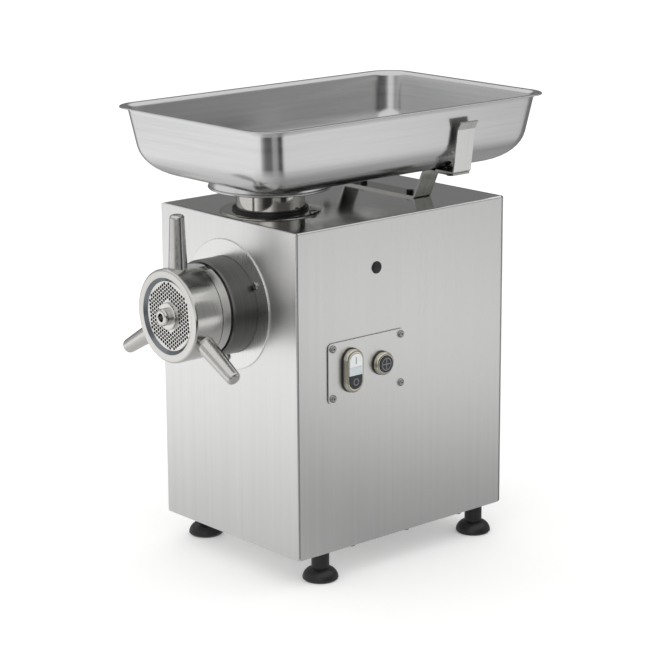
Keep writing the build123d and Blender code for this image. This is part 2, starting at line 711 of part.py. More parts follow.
# ---------------------------------------------------------------- gearbox
COVER_FRONT = GEARBOX_BACK + 1.0
CAVITY_FRONT = GEARBOX_FRONT + GEARBOX_WALL + 3.5
COVER_BACK = COVER_FRONT + 14.0
GEARBOX_MIDDLE = (HEAD_Z + MOTOR_Z) / 2
COUNTER = spot(0, 0, COUNTER_Z, (0, 1, 0))
MOTOR = spot(0, 0, MOTOR_Z, (0, 1, 0))
SLOW_LAYER = (218.0, 240.0)
FAST_LAYER = (248.0, 264.0)
TIE_CIRCLE = 66.0
STAND_TOP = 100.0
STAND_SHEET = 5.0
STAND_MIDDLE = (GEARBOX_FRONT + GEARBOX_BACK) / 2
STAND_DEPTH = 50.0


def gearbox_outline(half):
    """Two half circles joined by straight sides, round the output shaft and the motor shaft."""
    with Locations((0, GEARBOX_MIDDLE)):
        SlotCenterToCenter(HEAD_Z - MOTOR_Z, 2 * half, rotation=90)


RIM_MIDDLE = GEARBOX_HALF - GEARBOX_WALL / 2
COVER_SCREWS = (
    [(RIM_MIDDLE * cos(radians(a)), HEAD_Z + RIM_MIDDLE * sin(radians(a))) for a in (30, 90, 150)]
    + [(RIM_MIDDLE * cos(radians(a)), MOTOR_Z + RIM_MIDDLE * sin(radians(a))) for a in (210, 270, 330)]
    + [(x, GEARBOX_MIDDLE) for x in (-RIM_MIDDLE, RIM_MIDDLE)]
)

with BuildPart() as gearbox_housing:
    with BuildSketch(across(GEARBOX_BACK)):
        gearbox_outline(GEARBOX_HALF)
    extrude(amount=GEARBOX_BACK - GEARBOX_FRONT)
    with BuildSketch(across(GEARBOX_BACK)):
        gearbox_outline(GEARBOX_HALF - GEARBOX_WALL)
    extrude(amount=GEARBOX_BACK - GEARBOX_FRONT - GEARBOX_WALL, mode=Mode.SUBTRACT)
    tube(HEAD, 44, 0, BARREL_REAR + 0.2, GEARBOX_FRONT + 1)
    tube(COUNTER, 24, 0, GEARBOX_FRONT + 1, CAVITY_FRONT)
    with Locations((0, FRONT_Y + STAND_MIDDLE, STAND_TOP + 12)):
        Box(110, 50, 24)
    with BuildSketch(across(GEARBOX_BACK)):
        gearbox_outline(GEARBOX_HALF - GEARBOX_WALL)
    extrude(amount=GEARBOX_BACK - CAVITY_FRONT, mode=Mode.SUBTRACT)
    turned(
        HEAD,
        (0, BARREL_REAR - 1), (33, BARREL_REAR - 1), (33, 172), (22, 172), (22, 218), (0, 218),
        mode=Mode.SUBTRACT,
    )
    turned(COUNTER, (0, 205.9), (17.5, 205.9), (17.5, 218), (0, 218), mode=Mode.SUBTRACT)
    turned(MOTOR, (0, 200), (22, 200), (22, 218), (0, 218), mode=Mode.SUBTRACT)
    with BuildSketch(across(GEARBOX_BACK + 1)):
        with Locations(*COVER_SCREWS):
            Circle(2.4)
    extrude(amount=14, mode=Mode.SUBTRACT)
    with BuildSketch(across(GEARBOX_FRONT - 1)):
        with Locations(*around(4, TIE_CIRCLE, 45, MOTOR_Z)):
            Circle(2.0)
    extrude(amount=-10, mode=Mode.SUBTRACT)
save(gearbox_housing.part, "gearbox_housing")

with BuildPart() as gearbox_cover:
    with BuildSketch(across(COVER_BACK)):
        gearbox_outline(GEARBOX_HALF)
        with Locations(*COVER_SCREWS):
            Circle(2.4, mode=Mode.SUBTRACT)
    extrude(amount=COVER_BACK - COVER_FRONT)
    turned(HEAD, (0, 280), (23.5, 280), (23.5, 292), (0, 292), mode=Mode.SUBTRACT)
    turned(COUNTER, (0, 280), (17.5, 280), (17.5, 292), (0, 292), mode=Mode.SUBTRACT)
save(gearbox_cover.part, "gearbox_cover")

with BuildPart() as gearbox_gasket:
    with BuildSketch(across(COVER_FRONT)):
        gearbox_outline(GEARBOX_HALF)
        with Locations((0, GEARBOX_MIDDLE)):
            SlotCenterToCenter(
                HEAD_Z - MOTOR_Z, 2 * (GEARBOX_HALF - GEARBOX_WALL), rotation=90, mode=Mode.SUBTRACT
            )
        with Locations(*COVER_SCREWS):
            Circle(2.4, mode=Mode.SUBTRACT)
    extrude(amount=COVER_FRONT - GEARBOX_BACK)
save(gearbox_gasket.part, "gearbox_gasket")

with BuildPart() as gearbox_screws:
    for x, z in COVER_SCREWS:
        round_head_screw(spot(x, COVER_BACK, z, (0, 1, 0)), 26)
save(gearbox_screws.part, "gearbox_screws")

with BuildPart() as gearbox_stand:
    with BuildSketch(across(STAND_MIDDLE + STAND_DEPTH / 2)):
        with BuildLine():
            Polyline(
                (80, BASE_UPPER), (80, BASE_UPPER + STAND_SHEET), (60, BASE_UPPER + STAND_SHEET),
                (60, STAND_TOP), (-60, STAND_TOP), (-60, BASE_UPPER + STAND_SHEET),
                (-80, BASE_UPPER + STAND_SHEET), (-80, BASE_UPPER), (-55, BASE_UPPER),
                (-55, STAND_TOP - STAND_SHEET), (55, STAND_TOP - STAND_SHEET), (55, BASE_UPPER),
                close=True,
            )
        make_face()
    extrude(amount=STAND_DEPTH)
    with BuildSketch(level(BASE_UPPER)):
        with Locations(*STAND_FOOT_BOLTS):
            Circle(BOLT_HOLE)
    extrude(amount=STAND_SHEET, mode=Mode.SUBTRACT)
    with BuildSketch(level(STAND_TOP)):
        with Locations((-40, STAND_MIDDLE), (40, STAND_MIDDLE)):
            Circle(BOLT_HOLE)
    extrude(amount=-STAND_SHEET, mode=Mode.SUBTRACT)
save(gearbox_stand.part, "gearbox_stand")

with BuildPart() as frame_bolts:
    for x, z in around(4, SUPPORT_BOLT_CIRCLE, 45):
        hex_bolt(spot(x, SUPPORT_REAR, z, (0, 1, 0)), 8, 4, 2.5, 16)
    for x, depth in SUPPORT_FOOT_BOLTS:
        hex_bolt(spot(x, depth, BASE_UPPER + SUPPORT_SHEET, UP), 13, 5, 4.0, 13, nut=8)
    for x, depth in STAND_FOOT_BOLTS:
        hex_bolt(spot(x, depth, BASE_UPPER + STAND_SHEET, UP), 13, 5, 4.0, 12, nut=7)
    for x in (-40, 40):
        hex_bolt(spot(x, STAND_MIDDLE, STAND_TOP - STAND_SHEET, (0, 0, -1)), 13, 5, 4.0, STAND_SHEET)
    for x, depth in FEET:
        hex_bolt(spot(x, depth, BASE_UPPER, UP), 13, 5, 4.0, BASE_UPPER - FOOT_SOCKET)
save(frame_bolts.part, "frame_bolts")


def bearing(place, outer, inner, near, far):
    """Ball bearing drawn closed, with a groove where its shield sits."""
    middle = (outer + inner) / 2
    reach = (outer - inner) / 5
    turned(
        place,
        (inner, near), (middle - reach, near), (middle - reach, near + 0.6),
        (middle + reach, near + 0.6), (middle + reach, near), (outer, near),
        (outer, far), (middle + reach, far), (middle + reach, far - 0.6),
        (middle - reach, far - 0.6), (middle - reach, far), (inner, far),
    )


with BuildPart() as ball_bearings:
    bearing(HEAD, 33, 20, 158, 172)
    bearing(HEAD, 23.5, 12.5, 281, 292)
    bearing(COUNTER, 17.5, 7.5, 206, 217)
    bearing(COUNTER, 17.5, 7.5, 281, 292)
    bearing(MOTOR, 21, 10, 44, 56)
    bearing(MOTOR, 21, 10, 193, 205)
save(ball_bearings.part, "ball_bearings")

FIT = 0.05  # running clearance of the shafts in their bearings

with BuildPart() as output_shaft:
    turned(
        HEAD,
        (0, 142), (SHANK - FIT, 142), (SHANK - FIT, 276),
        (12.5 - FIT, 276), (12.5 - FIT, 291.5), (0, 291.5),
    )
    with BuildSketch(across(167)):
        with Locations((0, HEAD_Z)):
            Rectangle(SHANK + 0.2, SHANK + 0.2)
    extrude(amount=26, mode=Mode.SUBTRACT)
save(output_shaft.part, "output_shaft")

with BuildPart() as output_gear:
    with BuildSketch(across(SLOW_LAYER[1])):
        with BuildLine(Location((0, HEAD_Z))):
            Polyline(*gear_outline(OUTPUT_TEETH, radians(-90 + 180 / OUTPUT_TEETH)), close=True)
        make_face()
        with Locations((0, HEAD_Z)):
            Circle(SHANK - FIT, mode=Mode.SUBTRACT)
        with Locations(*around(6, 41, 0)):
            Circle(9, mode=Mode.SUBTRACT)
    extrude(amount=SLOW_LAYER[1] - SLOW_LAYER[0])
save(output_gear.part, "output_gear")

with BuildPart() as pinion_shaft:
    turned(
        COUNTER,
        (0, 206.5), (7.5 - FIT, 206.5), (7.5 - FIT, SLOW_LAYER[0] - 0.5),
        (10, SLOW_LAYER[0] - 0.5), (10, FAST_LAYER[1] + 4),
        (7.5 - FIT, FAST_LAYER[1] + 4), (7.5 - FIT, 291.5), (0, 291.5),
    )
    with BuildSketch(across(SLOW_LAYER[1] + 1)):
        with BuildLine(Location((0, COUNTER_Z))):
            Polyline(*gear_outline(PINION_TEETH, radians(90)), close=True)
        make_face()
    extrude(amount=SLOW_LAYER[1] - SLOW_LAYER[0])
save(pinion_shaft.part, "pinion_shaft")

with BuildPart() as intermediate_gear:
    with BuildSketch(across(FAST_LAYER[1])):
        with BuildLine(Location((0, COUNTER_Z))):
            first_tooth = radians(-90 + 180 / INTERMEDIATE_TEETH)
            Polyline(*gear_outline(INTERMEDIATE_TEETH, first_tooth), close=True)
        make_face()
        with Locations((0, COUNTER_Z)):
            Circle(10, mode=Mode.SUBTRACT)
        with Locations(*around(5, 29, 0, COUNTER_Z)):
            Circle(7.5, mode=Mode.SUBTRACT)
    extrude(amount=FAST_LAYER[1] - FAST_LAYER[0])
save(intermediate_gear.part, "intermediate_gear")

# ---------------------------------------------------------------- motor
MOTOR_RADIUS = 70.0
CORE_RADIUS = 61.5
ROTOR_RADIUS = 35.5
SHAFT_RADIUS = 10.0
MOTOR_FRONT = 56.0
MOTOR_BACK = 193.0
SHIELD = 12.0  # thickness of the end shields
CORE_FRONT, CORE_BACK = 80.0, 170.0

with BuildPart() as motor_housing:
    tube(MOTOR, MOTOR_RADIUS, CORE_RADIUS, MOTOR_FRONT, MOTOR_BACK)
    with BuildSketch(across(MOTOR_BACK)):
        with Locations(*around(4, TIE_CIRCLE, 45, MOTOR_Z)):
            Circle(2.0)
    extrude(amount=MOTOR_BACK - MOTOR_FRONT, mode=Mode.SUBTRACT)
    with Locations((0, FRONT_Y + 120, MOTOR_Z + MOTOR_RADIUS + 3)):
        Box(46, 60, 14)
save(motor_housing.part, "motor_housing")

with BuildPart() as motor_end_shields:
    for near in (MOTOR_FRONT - SHIELD, MOTOR_BACK):
        tube(MOTOR, MOTOR_RADIUS, 21, near, near + SHIELD)
        with BuildSketch(across(near + SHIELD)):
            with Locations(*around(4, TIE_CIRCLE, 45, MOTOR_Z)):
                Circle(2.0)
        extrude(amount=SHIELD, mode=Mode.SUBTRACT)
save(motor_end_shields.part, "motor_end_shields")

with BuildPart() as motor_tie_bolts:
    for x, z in around(4, TIE_CIRCLE, 45, MOTOR_Z):
        hex_bolt(spot(x, MOTOR_FRONT - SHIELD, z, FORWARD), 6.5, 3.0, 2.0, 168)
save(motor_tie_bolts.part, "motor_tie_bolts")

with BuildPart() as stator_core:
    with BuildSketch(across(CORE_BACK)):
        with Locations((0, MOTOR_Z)):
            Circle(CORE_RADIUS)
            Circle(ROTOR_RADIUS + 0.5, mode=Mode.SUBTRACT)
            with PolarLocations(46, 24):
                Rectangle(14, 5, mode=Mode.SUBTRACT)
            with PolarLocations(37, 24):
                Rectangle(8, 2, mode=Mode.SUBTRACT)
    extrude(amount=CORE_BACK - CORE_FRONT)
save(stator_core.part, "stator_core")

with BuildPart() as stator_windings:
    for near, far in ((CORE_FRONT - 18, CORE_FRONT), (CORE_BACK, CORE_BACK + 18)):
        turned(
            MOTOR,
            (40, near + 3), (43, near), (54, near), (57, near + 3),
            (57, far - 3), (54, far), (43, far), (40, far - 3),
        )
save(stator_windings.part, "stator_windings")

with BuildPart() as rotor_core:
    turned(
        MOTOR,
        (SHAFT_RADIUS, CORE_FRONT), (20, CORE_FRONT), (20, CORE_FRONT - 8), (33, CORE_FRONT - 8),
        (33, CORE_FRONT), (ROTOR_RADIUS, CORE_FRONT), (ROTOR_RADIUS, CORE_BACK), (33, CORE_BACK),
        (33, CORE_BACK + 8), (20, CORE_BACK + 8), (20, CORE_BACK), (SHAFT_RADIUS, CORE_BACK),
    )
save(rotor_core.part, "rotor_core")

with BuildPart() as motor_shaft:
    turned(
        MOTOR,
        (0, 26), (SHAFT_RADIUS - FIT, 26), (SHAFT_RADIUS - FIT, 60), (SHAFT_RADIUS, 60),
        (SHAFT_RADIUS, 190), (SHAFT_RADIUS - FIT, 190), (SHAFT_RADIUS - FIT, 213),
        (8, 213), (8, FAST_LAYER[1] + 2), (0, FAST_LAYER[1] + 2),
    )
save(motor_shaft.part, "motor_shaft")

with BuildPart() as motor_pinion:
    with BuildSketch(across(FAST_LAYER[1])):
        with BuildLine(Location((0, MOTOR_Z))):
            Polyline(*gear_outline(MOTOR_TEETH, radians(90)), close=True)
        make_face()
        with Locations((0, MOTOR_Z)):
            Circle(8, mode=Mode.SUBTRACT)
    extrude(amount=FAST_LAYER[1] - FAST_LAYER[0])
save(motor_pinion.part, "motor_pinion")

with BuildPart() as motor_fan:
    tube(MOTOR, 14, SHAFT_RADIUS - FIT, 28, 42)
    tube(MOTOR, 34, SHAFT_RADIUS - FIT, 39, 42)
    with BuildSketch(across(42)):
        with Locations((0, MOTOR_Z)):
            with PolarLocations(34, 8):
                Rectangle(44, 2.4)
    extrude(amount=12)
save(motor_fan.part, "motor_fan")

with BuildPart() as fan_cowl:
    turned(
        MOTOR,
        (MOTOR_RADIUS, 56), (MOTOR_RADIUS, 25.2), (0, 25.2), (0, 24),
        (MOTOR_RADIUS + 1.2, 24), (MOTOR_RADIUS + 1.2, 56),
    )
    with BuildSketch(across(26)):
        with Locations((0, MOTOR_Z)):
            Circle(12)
            with PolarLocations(38, 16):
                SlotOverall(40, 4)
    extrude(amount=4, mode=Mode.SUBTRACT)
save(fan_cowl.part, "fan_cowl")

with BuildPart() as capacitor:
    turned(
        spot(-78, 305, BASE_UPPER, UP),
        (0, 0), (20, 0), (20, 66), (18, 68), (0, 68),
    )
    for x in (-83, -73):
        with Locations((x, FRONT_Y + 305, BASE_UPPER + 72)):
            Box(1, 6, 8)
save(capacitor.part, "capacitor")

with BuildPart() as contactor:
    with Locations((78, FRONT_Y + 300, BASE_UPPER + 36)):
        Box(45, 40, 72)
    with Locations(*[(64 + 14 * k, FRONT_Y + 280, BASE_UPPER + h) for k in range(3) for h in (12, 60)]):
        Box(8, 6, 14, mode=Mode.SUBTRACT)
save(contactor.part, "contactor")

# ---------------------------------------------------------------- controls on the right-hand side
PANEL_SEAL = 0.8  # rubber sheet behind the control plate
PANEL_ROUND = 6.0
PLATE_OUT = RIGHT + PANEL_SEAL + 1.2
GASKET_OUT = PLATE_OUT + 2.0
BEZEL_OUT = GASKET_OUT + 6.5
CAP_TRAVEL = 3.0
CAP_BACK = GASKET_OUT + CAP_TRAVEL + 0.2
CAP_OUT = BEZEL_OUT + 1.0
SLOT_LONG, SLOT_WIDE = 53.6, 28.0
WINDOW_SLOT = (44.4, 20.4)
ROUND_BEZEL = 14.3
BUTTON_BORE = 11.0
GAP = 0.4  # between a push button and its bezel


def panel_outline():
    """The control plate's outline with its holes, also for the seal behind it."""
    with Locations((PANEL_DEPTH, PANEL_Z)):
        RectangleRounded(*PANEL_SIZE, PANEL_ROUND)
    with Locations((START_DEPTH, PANEL_Z), (REVERSE_DEPTH, PANEL_Z)):
        Circle(BUTTON_BORE, mode=Mode.SUBTRACT)
    with Locations(*PANEL_SCREWS):
        Circle(SCREW_HOLE, mode=Mode.SUBTRACT)


with BuildPart() as control_plate:
    with BuildSketch(side(RIGHT + PANEL_SEAL)):
        panel_outline()
    extrude(amount=PLATE_OUT - RIGHT - PANEL_SEAL)
save(control_plate.part, "control_plate")

with BuildPart() as button_gaskets:
    with BuildSketch(side(RIGHT)):
        panel_outline()
    extrude(amount=PANEL_SEAL)
    with BuildSketch(side(PLATE_OUT)):
        with Locations((START_DEPTH, PANEL_Z)):
            SlotOverall(SLOT_LONG + 1.2, SLOT_WIDE + 1.2, rotation=90)
        with Locations((REVERSE_DEPTH, PANEL_Z)):
            Circle(ROUND_BEZEL + 0.5)
        with Locations((START_DEPTH, PANEL_Z), (REVERSE_DEPTH, PANEL_Z)):
            Circle(BUTTON_BORE, mode=Mode.SUBTRACT)
    extrude(amount=GASKET_OUT - PLATE_OUT)
save(button_gaskets.part, "button_gaskets")

with BuildPart() as button_bezels:
    with BuildSketch(side(GASKET_OUT)):
        with Locations((START_DEPTH, PANEL_Z)):
            SlotOverall(SLOT_LONG, SLOT_WIDE, rotation=90)
        with Locations((REVERSE_DEPTH, PANEL_Z)):
            Circle(ROUND_BEZEL)
    extrude(amount=BEZEL_OUT - GASKET_OUT)
    fillet(button_bezels.faces().filter_by_position(Axis.X, BEZEL_OUT, BEZEL_OUT).edges(), 3.2)
    with BuildSketch(side(GASKET_OUT)):
        with Locations((START_DEPTH, PANEL_Z)):
            SlotOverall(*WINDOW_SLOT, rotation=90)
        with Locations((REVERSE_DEPTH, PANEL_Z)):
            Circle(ROUND_BEZEL - 3.5)
    extrude(amount=BEZEL_OUT - GASKET_OUT, mode=Mode.SUBTRACT)
save(button_bezels.part, "button_bezels")

STEM_RADIUS = 2.2
STEM_OFFSET = 7.0
ENGRAVING = 0.3
STEMS = {START_DEPTH: (PANEL_Z - STEM_OFFSET, PANEL_Z + STEM_OFFSET), REVERSE_DEPTH: (PANEL_Z,)}
BODY_BACK = 116.5

with BuildPart() as button_bodies:
    for depth, heights in STEMS.items():
        middle = spot(0, depth, PANEL_Z, OUT)
        tube(middle, BUTTON_BORE, 0, BODY_BACK, GASKET_OUT)
        with BuildSketch(side(RIGHT)):
            with Locations((depth, PANEL_Z)):
                RegularPolygon(14, 6)
                Circle(BUTTON_BORE, mode=Mode.SUBTRACT)
        extrude(amount=-3.5)
        with BuildSketch(side(GASKET_OUT)):
            with Locations(*[(depth, z) for z in heights]):
                Circle(SCREW_HOLE)
        extrude(amount=BODY_BACK - GASKET_OUT, mode=Mode.SUBTRACT)
save(button_bodies.part, "button_bodies")

WINDOW_TOP = PANEL_Z + 5.3
WINDOW_FOOT = PANEL_Z - 4.7


def half_cap(middle):
    """Half of the double button's face, taken from a stadium by a square about a height."""
    with BuildSketch(side(CAP_BACK)) as face:
        with Locations((START_DEPTH, PANEL_Z)):
            SlotOverall(WINDOW_SLOT[0] - 2 * GAP, WINDOW_SLOT[1] - 2 * GAP, rotation=90)
        with Locations((START_DEPTH, middle)):
            Rectangle(30, 30, mode=Mode.INTERSECT)
    extrude(face.sketch, amount=CAP_OUT - CAP_BACK)


def stem(depth, height):
    """Round stem that carries a button's push through its body."""
    tube(spot(0, depth, height, OUT), STEM_RADIUS, 0, BODY_BACK + CAP_TRAVEL + 0.5, CAP_BACK)


with BuildPart() as start_button:
    half_cap(WINDOW_TOP + 0.3 + 15)
    stem(START_DEPTH, PANEL_Z + STEM_OFFSET)
    with BuildSketch(side(CAP_OUT)):
        with Locations((START_DEPTH, PANEL_Z + 13)):
            Rectangle(1.3, 8)
    extrude(amount=-ENGRAVING, mode=Mode.SUBTRACT)
save(start_button.part, "start_button")

with BuildPart() as stop_button:
    half_cap(WINDOW_FOOT - 0.3 - 15)
    stem(START_DEPTH, PANEL_Z - STEM_OFFSET)
    with BuildSketch(side(CAP_OUT)):
        with Locations((START_DEPTH, PANEL_Z - 12.5)):
            Circle(4.2)
            Circle(3.1, mode=Mode.SUBTRACT)
    extrude(amount=-ENGRAVING, mode=Mode.SUBTRACT)
save(stop_button.part, "stop_button")

with BuildPart() as indicator_window:
    with BuildSketch(side(GASKET_OUT)):
        with Locations((START_DEPTH, (WINDOW_TOP + WINDOW_FOOT) / 2)):
            Rectangle(WINDOW_SLOT[1], WINDOW_TOP - WINDOW_FOOT)
    extrude(amount=CAP_OUT - GASKET_OUT)
    with BuildSketch(side(GASKET_OUT)):
        with Locations(*[(START_DEPTH, z) for z in STEMS[START_DEPTH]]):
            Circle(2.6)
    extrude(amount=CAP_OUT - GASKET_OUT - 1.5, mode=Mode.SUBTRACT)
save(indicator_window.part, "indicator_window")

with BuildPart() as reverse_button:
    tube(spot(0, REVERSE_DEPTH, PANEL_Z, OUT), ROUND_BEZEL - 3.5 - GAP, 0, CAP_BACK, CAP_OUT)
    stem(REVERSE_DEPTH, PANEL_Z)
    with BuildSketch(side(CAP_OUT)):
        with Locations((REVERSE_DEPTH, PANEL_Z)):
            Circle(8.4)
            Circle(7.4, mode=Mode.SUBTRACT)
    extrude(amount=-ENGRAVING, mode=Mode.SUBTRACT)
save(reverse_button.part, "reverse_button")

with BuildPart() as contact_blocks:
    for depth in STEMS:
        with Locations((BODY_BACK - 12.5, FRONT_Y + depth, PANEL_Z)):
            Box(25, 30, 44)
        with Locations(*[(BODY_BACK - 12.5, FRONT_Y + depth, PANEL_Z + h) for h in (-22, 22)]):
            Box(8, 8, 6, mode=Mode.SUBTRACT)
save(contact_blocks.part, "contact_blocks")

with BuildPart() as cover_screws:
    for x, z in around(3, DISC_SCREW_CIRCLE, 30):
        round_head_screw(spot(x, -SHEET, z, FORWARD), 8)
    for x, depth in THROAT_SCREWS:
        round_head_screw(spot(x, depth, DISC_UPPER, UP), 6)
    for depth, z in PANEL_SCREWS:
        round_head_screw(spot(PLATE_OUT, depth, z, OUT), 6)
save(cover_screws.part, "cover_screws")

# ---------------------------------------------------------------- bracket under the tray
ARM_TOP = TRAY_BOTTOM - 0.2
ARM_REACH = 134.0
CLIP_BOLT_X = 115.0

with BuildPart() as tray_bracket:
    base_line = CASE_TOP + BRACKET_SHEET / 2
    arm_line = ARM_TOP - BRACKET_SHEET / 2
    with BuildSketch(across(BRACKET_DEPTH + BRACKET_WIDTH / 2)):
        with BuildLine():
            FilletPolyline(
                (-ARM_REACH, arm_line), (-82, arm_line), (-64.5, base_line),
                (64.5, base_line), (82, arm_line), (ARM_REACH, arm_line),
                radius=3.0,
            )
        trace(line_width=BRACKET_SHEET)
    extrude(amount=BRACKET_WIDTH)
    with BuildSketch(level(ARM_TOP + 1)):
        with Locations(*[(x, BRACKET_DEPTH) for x in BRACKET_BOLTS_X + (-CLIP_BOLT_X, CLIP_BOLT_X)]):
            Circle(BRACKET_BOLT + 0.2)
    extrude(amount=-50, mode=Mode.SUBTRACT)
save(tray_bracket.part, "tray_bracket")

CLIP_SHEET = 2.0
CLIP_CORNERS = [(104, 1.0), (134.5, 1.0), (141.5, 54.7), (147, 64.2)]

with BuildPart() as tray_clips:
    for sign in (-1, 1):
        with BuildSketch(across(BRACKET_DEPTH + 14.5)):
            with BuildLine():
                FilletPolyline(*[(sign * x, ARM_TOP + h) for x, h in CLIP_CORNERS], radius=2.5)
            trace(line_width=CLIP_SHEET)
        extrude(amount=29)
    with BuildSketch(level(ARM_TOP + 3)):
        with Locations((-CLIP_BOLT_X, BRACKET_DEPTH), (CLIP_BOLT_X, BRACKET_DEPTH)):
            Circle(BRACKET_BOLT + 0.2)
    extrude(amount=-5, mode=Mode.SUBTRACT)
save(tray_clips.part, "tray_clips")

with BuildPart() as bracket_bolts:
    for x in BRACKET_BOLTS_X:
        hex_bolt(spot(x, BRACKET_DEPTH, CASE_TOP + BRACKET_SHEET, UP), 8, 3.5, BRACKET_BOLT, 10, nut=4)
    for x in (-CLIP_BOLT_X, CLIP_BOLT_X):
        hex_bolt(
            spot(x, BRACKET_DEPTH, ARM_TOP - BRACKET_SHEET, (0, 0, -1)), 8, 3.5, BRACKET_BOLT, 8,
            nut=BRACKET_SHEET + CLIP_SHEET,
        )
save(bracket_bolts.part, "bracket_bolts")

# ---------------------------------------------------------------- tray
TRAY_LENGTH = TRAY_BACK - TRAY_FRONT
TRAY_MIDDLE = (TRAY_BACK + TRAY_FRONT) / 2
ROUND_Z = TRAY_BOTTOM + TRAY_ROUND
WALL_DROP = TRAY_RIM - ROUND_Z + TRAY_ROUND * sin(TRAY_SLOPE)
ROUND_INSET = TRAY_LIP + WALL_DROP * tan(TRAY_SLOPE) + TRAY_ROUND * cos(TRAY_SLOPE)
ROUND_ANGLES = (25, 40, 55, 70, 80, 90)


def tray_sections(skin):
    """Wall top, wall and round of the tray as (inset from the rim, height), skin inside its outside."""
    sideways = skin / cos(TRAY_SLOPE)
    sections = [
        (TRAY_LIP + drop * tan(TRAY_SLOPE) + sideways, TRAY_RIM - drop)
        for drop in (0, WALL_DROP / 3, 2 * WALL_DROP / 3, WALL_DROP)
    ]
    for degrees in ROUND_ANGLES:
        angle = radians(degrees)
        radius = TRAY_ROUND - skin
        sections.append((ROUND_INSET - radius * cos(angle), ROUND_Z - radius * sin(angle)))
    return sections


def corner_radius(inset):
    """Corner radius in plan: concentric round the lip, the same all the way down the walls."""
    return TRAY_CORNER + max(0, TRAY_LIP - inset)


def tray_section(inset, height):
    """Rounded rectangle at an inset from the rim."""
    with BuildSketch(level(height)) as section:
        with Locations((0, TRAY_MIDDLE)):
            RectangleRounded(
                2 * (TRAY_HALF_WIDTH - inset), TRAY_LENGTH - 2 * inset, corner_radius(inset)
            )
    return section.sketch


with BuildPart() as tray:
    loft([tray_section(inset, height) for inset, height in tray_sections(0)])
    extrude(tray_section(0, TRAY_RIM), amount=-TRAY_SHEET)
    loft([tray_section(*s) for s in tray_sections(TRAY_SHEET)], mode=Mode.SUBTRACT)
    turned(
        NECK,
        (0, TRAY_BOTTOM - 1), (39, TRAY_BOTTOM - 1), (39, TRAY_BOTTOM + 3), (0, TRAY_BOTTOM + 3),
        mode=Mode.SUBTRACT,
    )
save(tray.part, "tray")

SKIRT_RADIUS = 73.8
SKIRT_FOOT = TRAY_BOTTOM - 9.2
SKIRT_BEAD = 1.8

with BuildPart() as tray_collar:
    turned(
        NECK,
        (NECK_RADIUS + 0.4, TRAY_BOTTOM - 10.5), (NECK_RADIUS + 1.9, TRAY_BOTTOM - 10.5),
        (NECK_RADIUS + 1.9, TRAY_BOTTOM - TRAY_SHEET), (SKIRT_RADIUS - TRAY_SHEET, TRAY_BOTTOM - TRAY_SHEET),
        (SKIRT_RADIUS - TRAY_SHEET, SKIRT_FOOT), (SKIRT_RADIUS, SKIRT_FOOT),
        (SKIRT_RADIUS, TRAY_BOTTOM), (NECK_RADIUS + 0.4, TRAY_BOTTOM),
    )
    with BuildSketch(Plane(NECK.origin, x_dir=OUT, z_dir=FORWARD)):
        with Locations((SKIRT_RADIUS - 0.2, SKIRT_FOOT)):
            Circle(SKIRT_BEAD)
    revolve(axis=Axis(NECK.origin, UP))
save(tray_collar.part, "tray_collar")
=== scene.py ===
"""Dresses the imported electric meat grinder: finishes, fine shapes, studio and camera."""

from math import atan2, cos, pi, radians, sin, tan

import bmesh
import bpy
from mathutils import Matrix, Vector


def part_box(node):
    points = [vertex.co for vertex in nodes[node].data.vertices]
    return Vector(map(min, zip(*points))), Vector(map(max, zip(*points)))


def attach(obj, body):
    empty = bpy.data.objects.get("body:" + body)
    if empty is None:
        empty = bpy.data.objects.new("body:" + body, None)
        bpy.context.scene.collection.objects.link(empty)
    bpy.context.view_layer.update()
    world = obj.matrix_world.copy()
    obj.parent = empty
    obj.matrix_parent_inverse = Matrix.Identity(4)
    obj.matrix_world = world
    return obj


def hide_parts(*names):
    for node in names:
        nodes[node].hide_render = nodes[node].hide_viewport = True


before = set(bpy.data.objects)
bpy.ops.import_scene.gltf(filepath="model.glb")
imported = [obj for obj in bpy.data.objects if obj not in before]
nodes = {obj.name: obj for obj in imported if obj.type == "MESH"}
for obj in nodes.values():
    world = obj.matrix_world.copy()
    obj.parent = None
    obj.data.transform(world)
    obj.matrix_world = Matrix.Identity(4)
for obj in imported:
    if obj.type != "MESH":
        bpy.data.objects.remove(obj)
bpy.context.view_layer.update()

# ------------------------------------------------------------- feet
# Four feet moulded in synthetic rubber, each a domed base under a round column, held by a bolt
# from inside the case. The mould leaves an even, faintly pebbled black skin with a dull sheen.


def linear(hex_colour):
    """An sRGB hex colour as linear red, green, blue and alpha."""
    parts = [int(hex_colour[k : k + 2], 16) / 255 for k in (1, 3, 5)]
    return [c / 12.92 if c <= 0.04045 else ((c + 0.055) / 1.055) ** 2.4 for c in parts] + [1.0]


def add(material, kind, settings=(), links=()):
    """Adds one shader node, sets its sockets or properties and links it to other sockets."""
    tree = material.node_tree
    made = tree.nodes.new("ShaderNode" + kind)
    for name, value in dict(settings).items():
        if isinstance(name, int) or name in made.inputs:
            made.inputs[name].default_value = value
        else:
            setattr(made, name, value)
    for name, source in dict(links).items():
        tree.links.new(source, made.inputs[name])
    return made


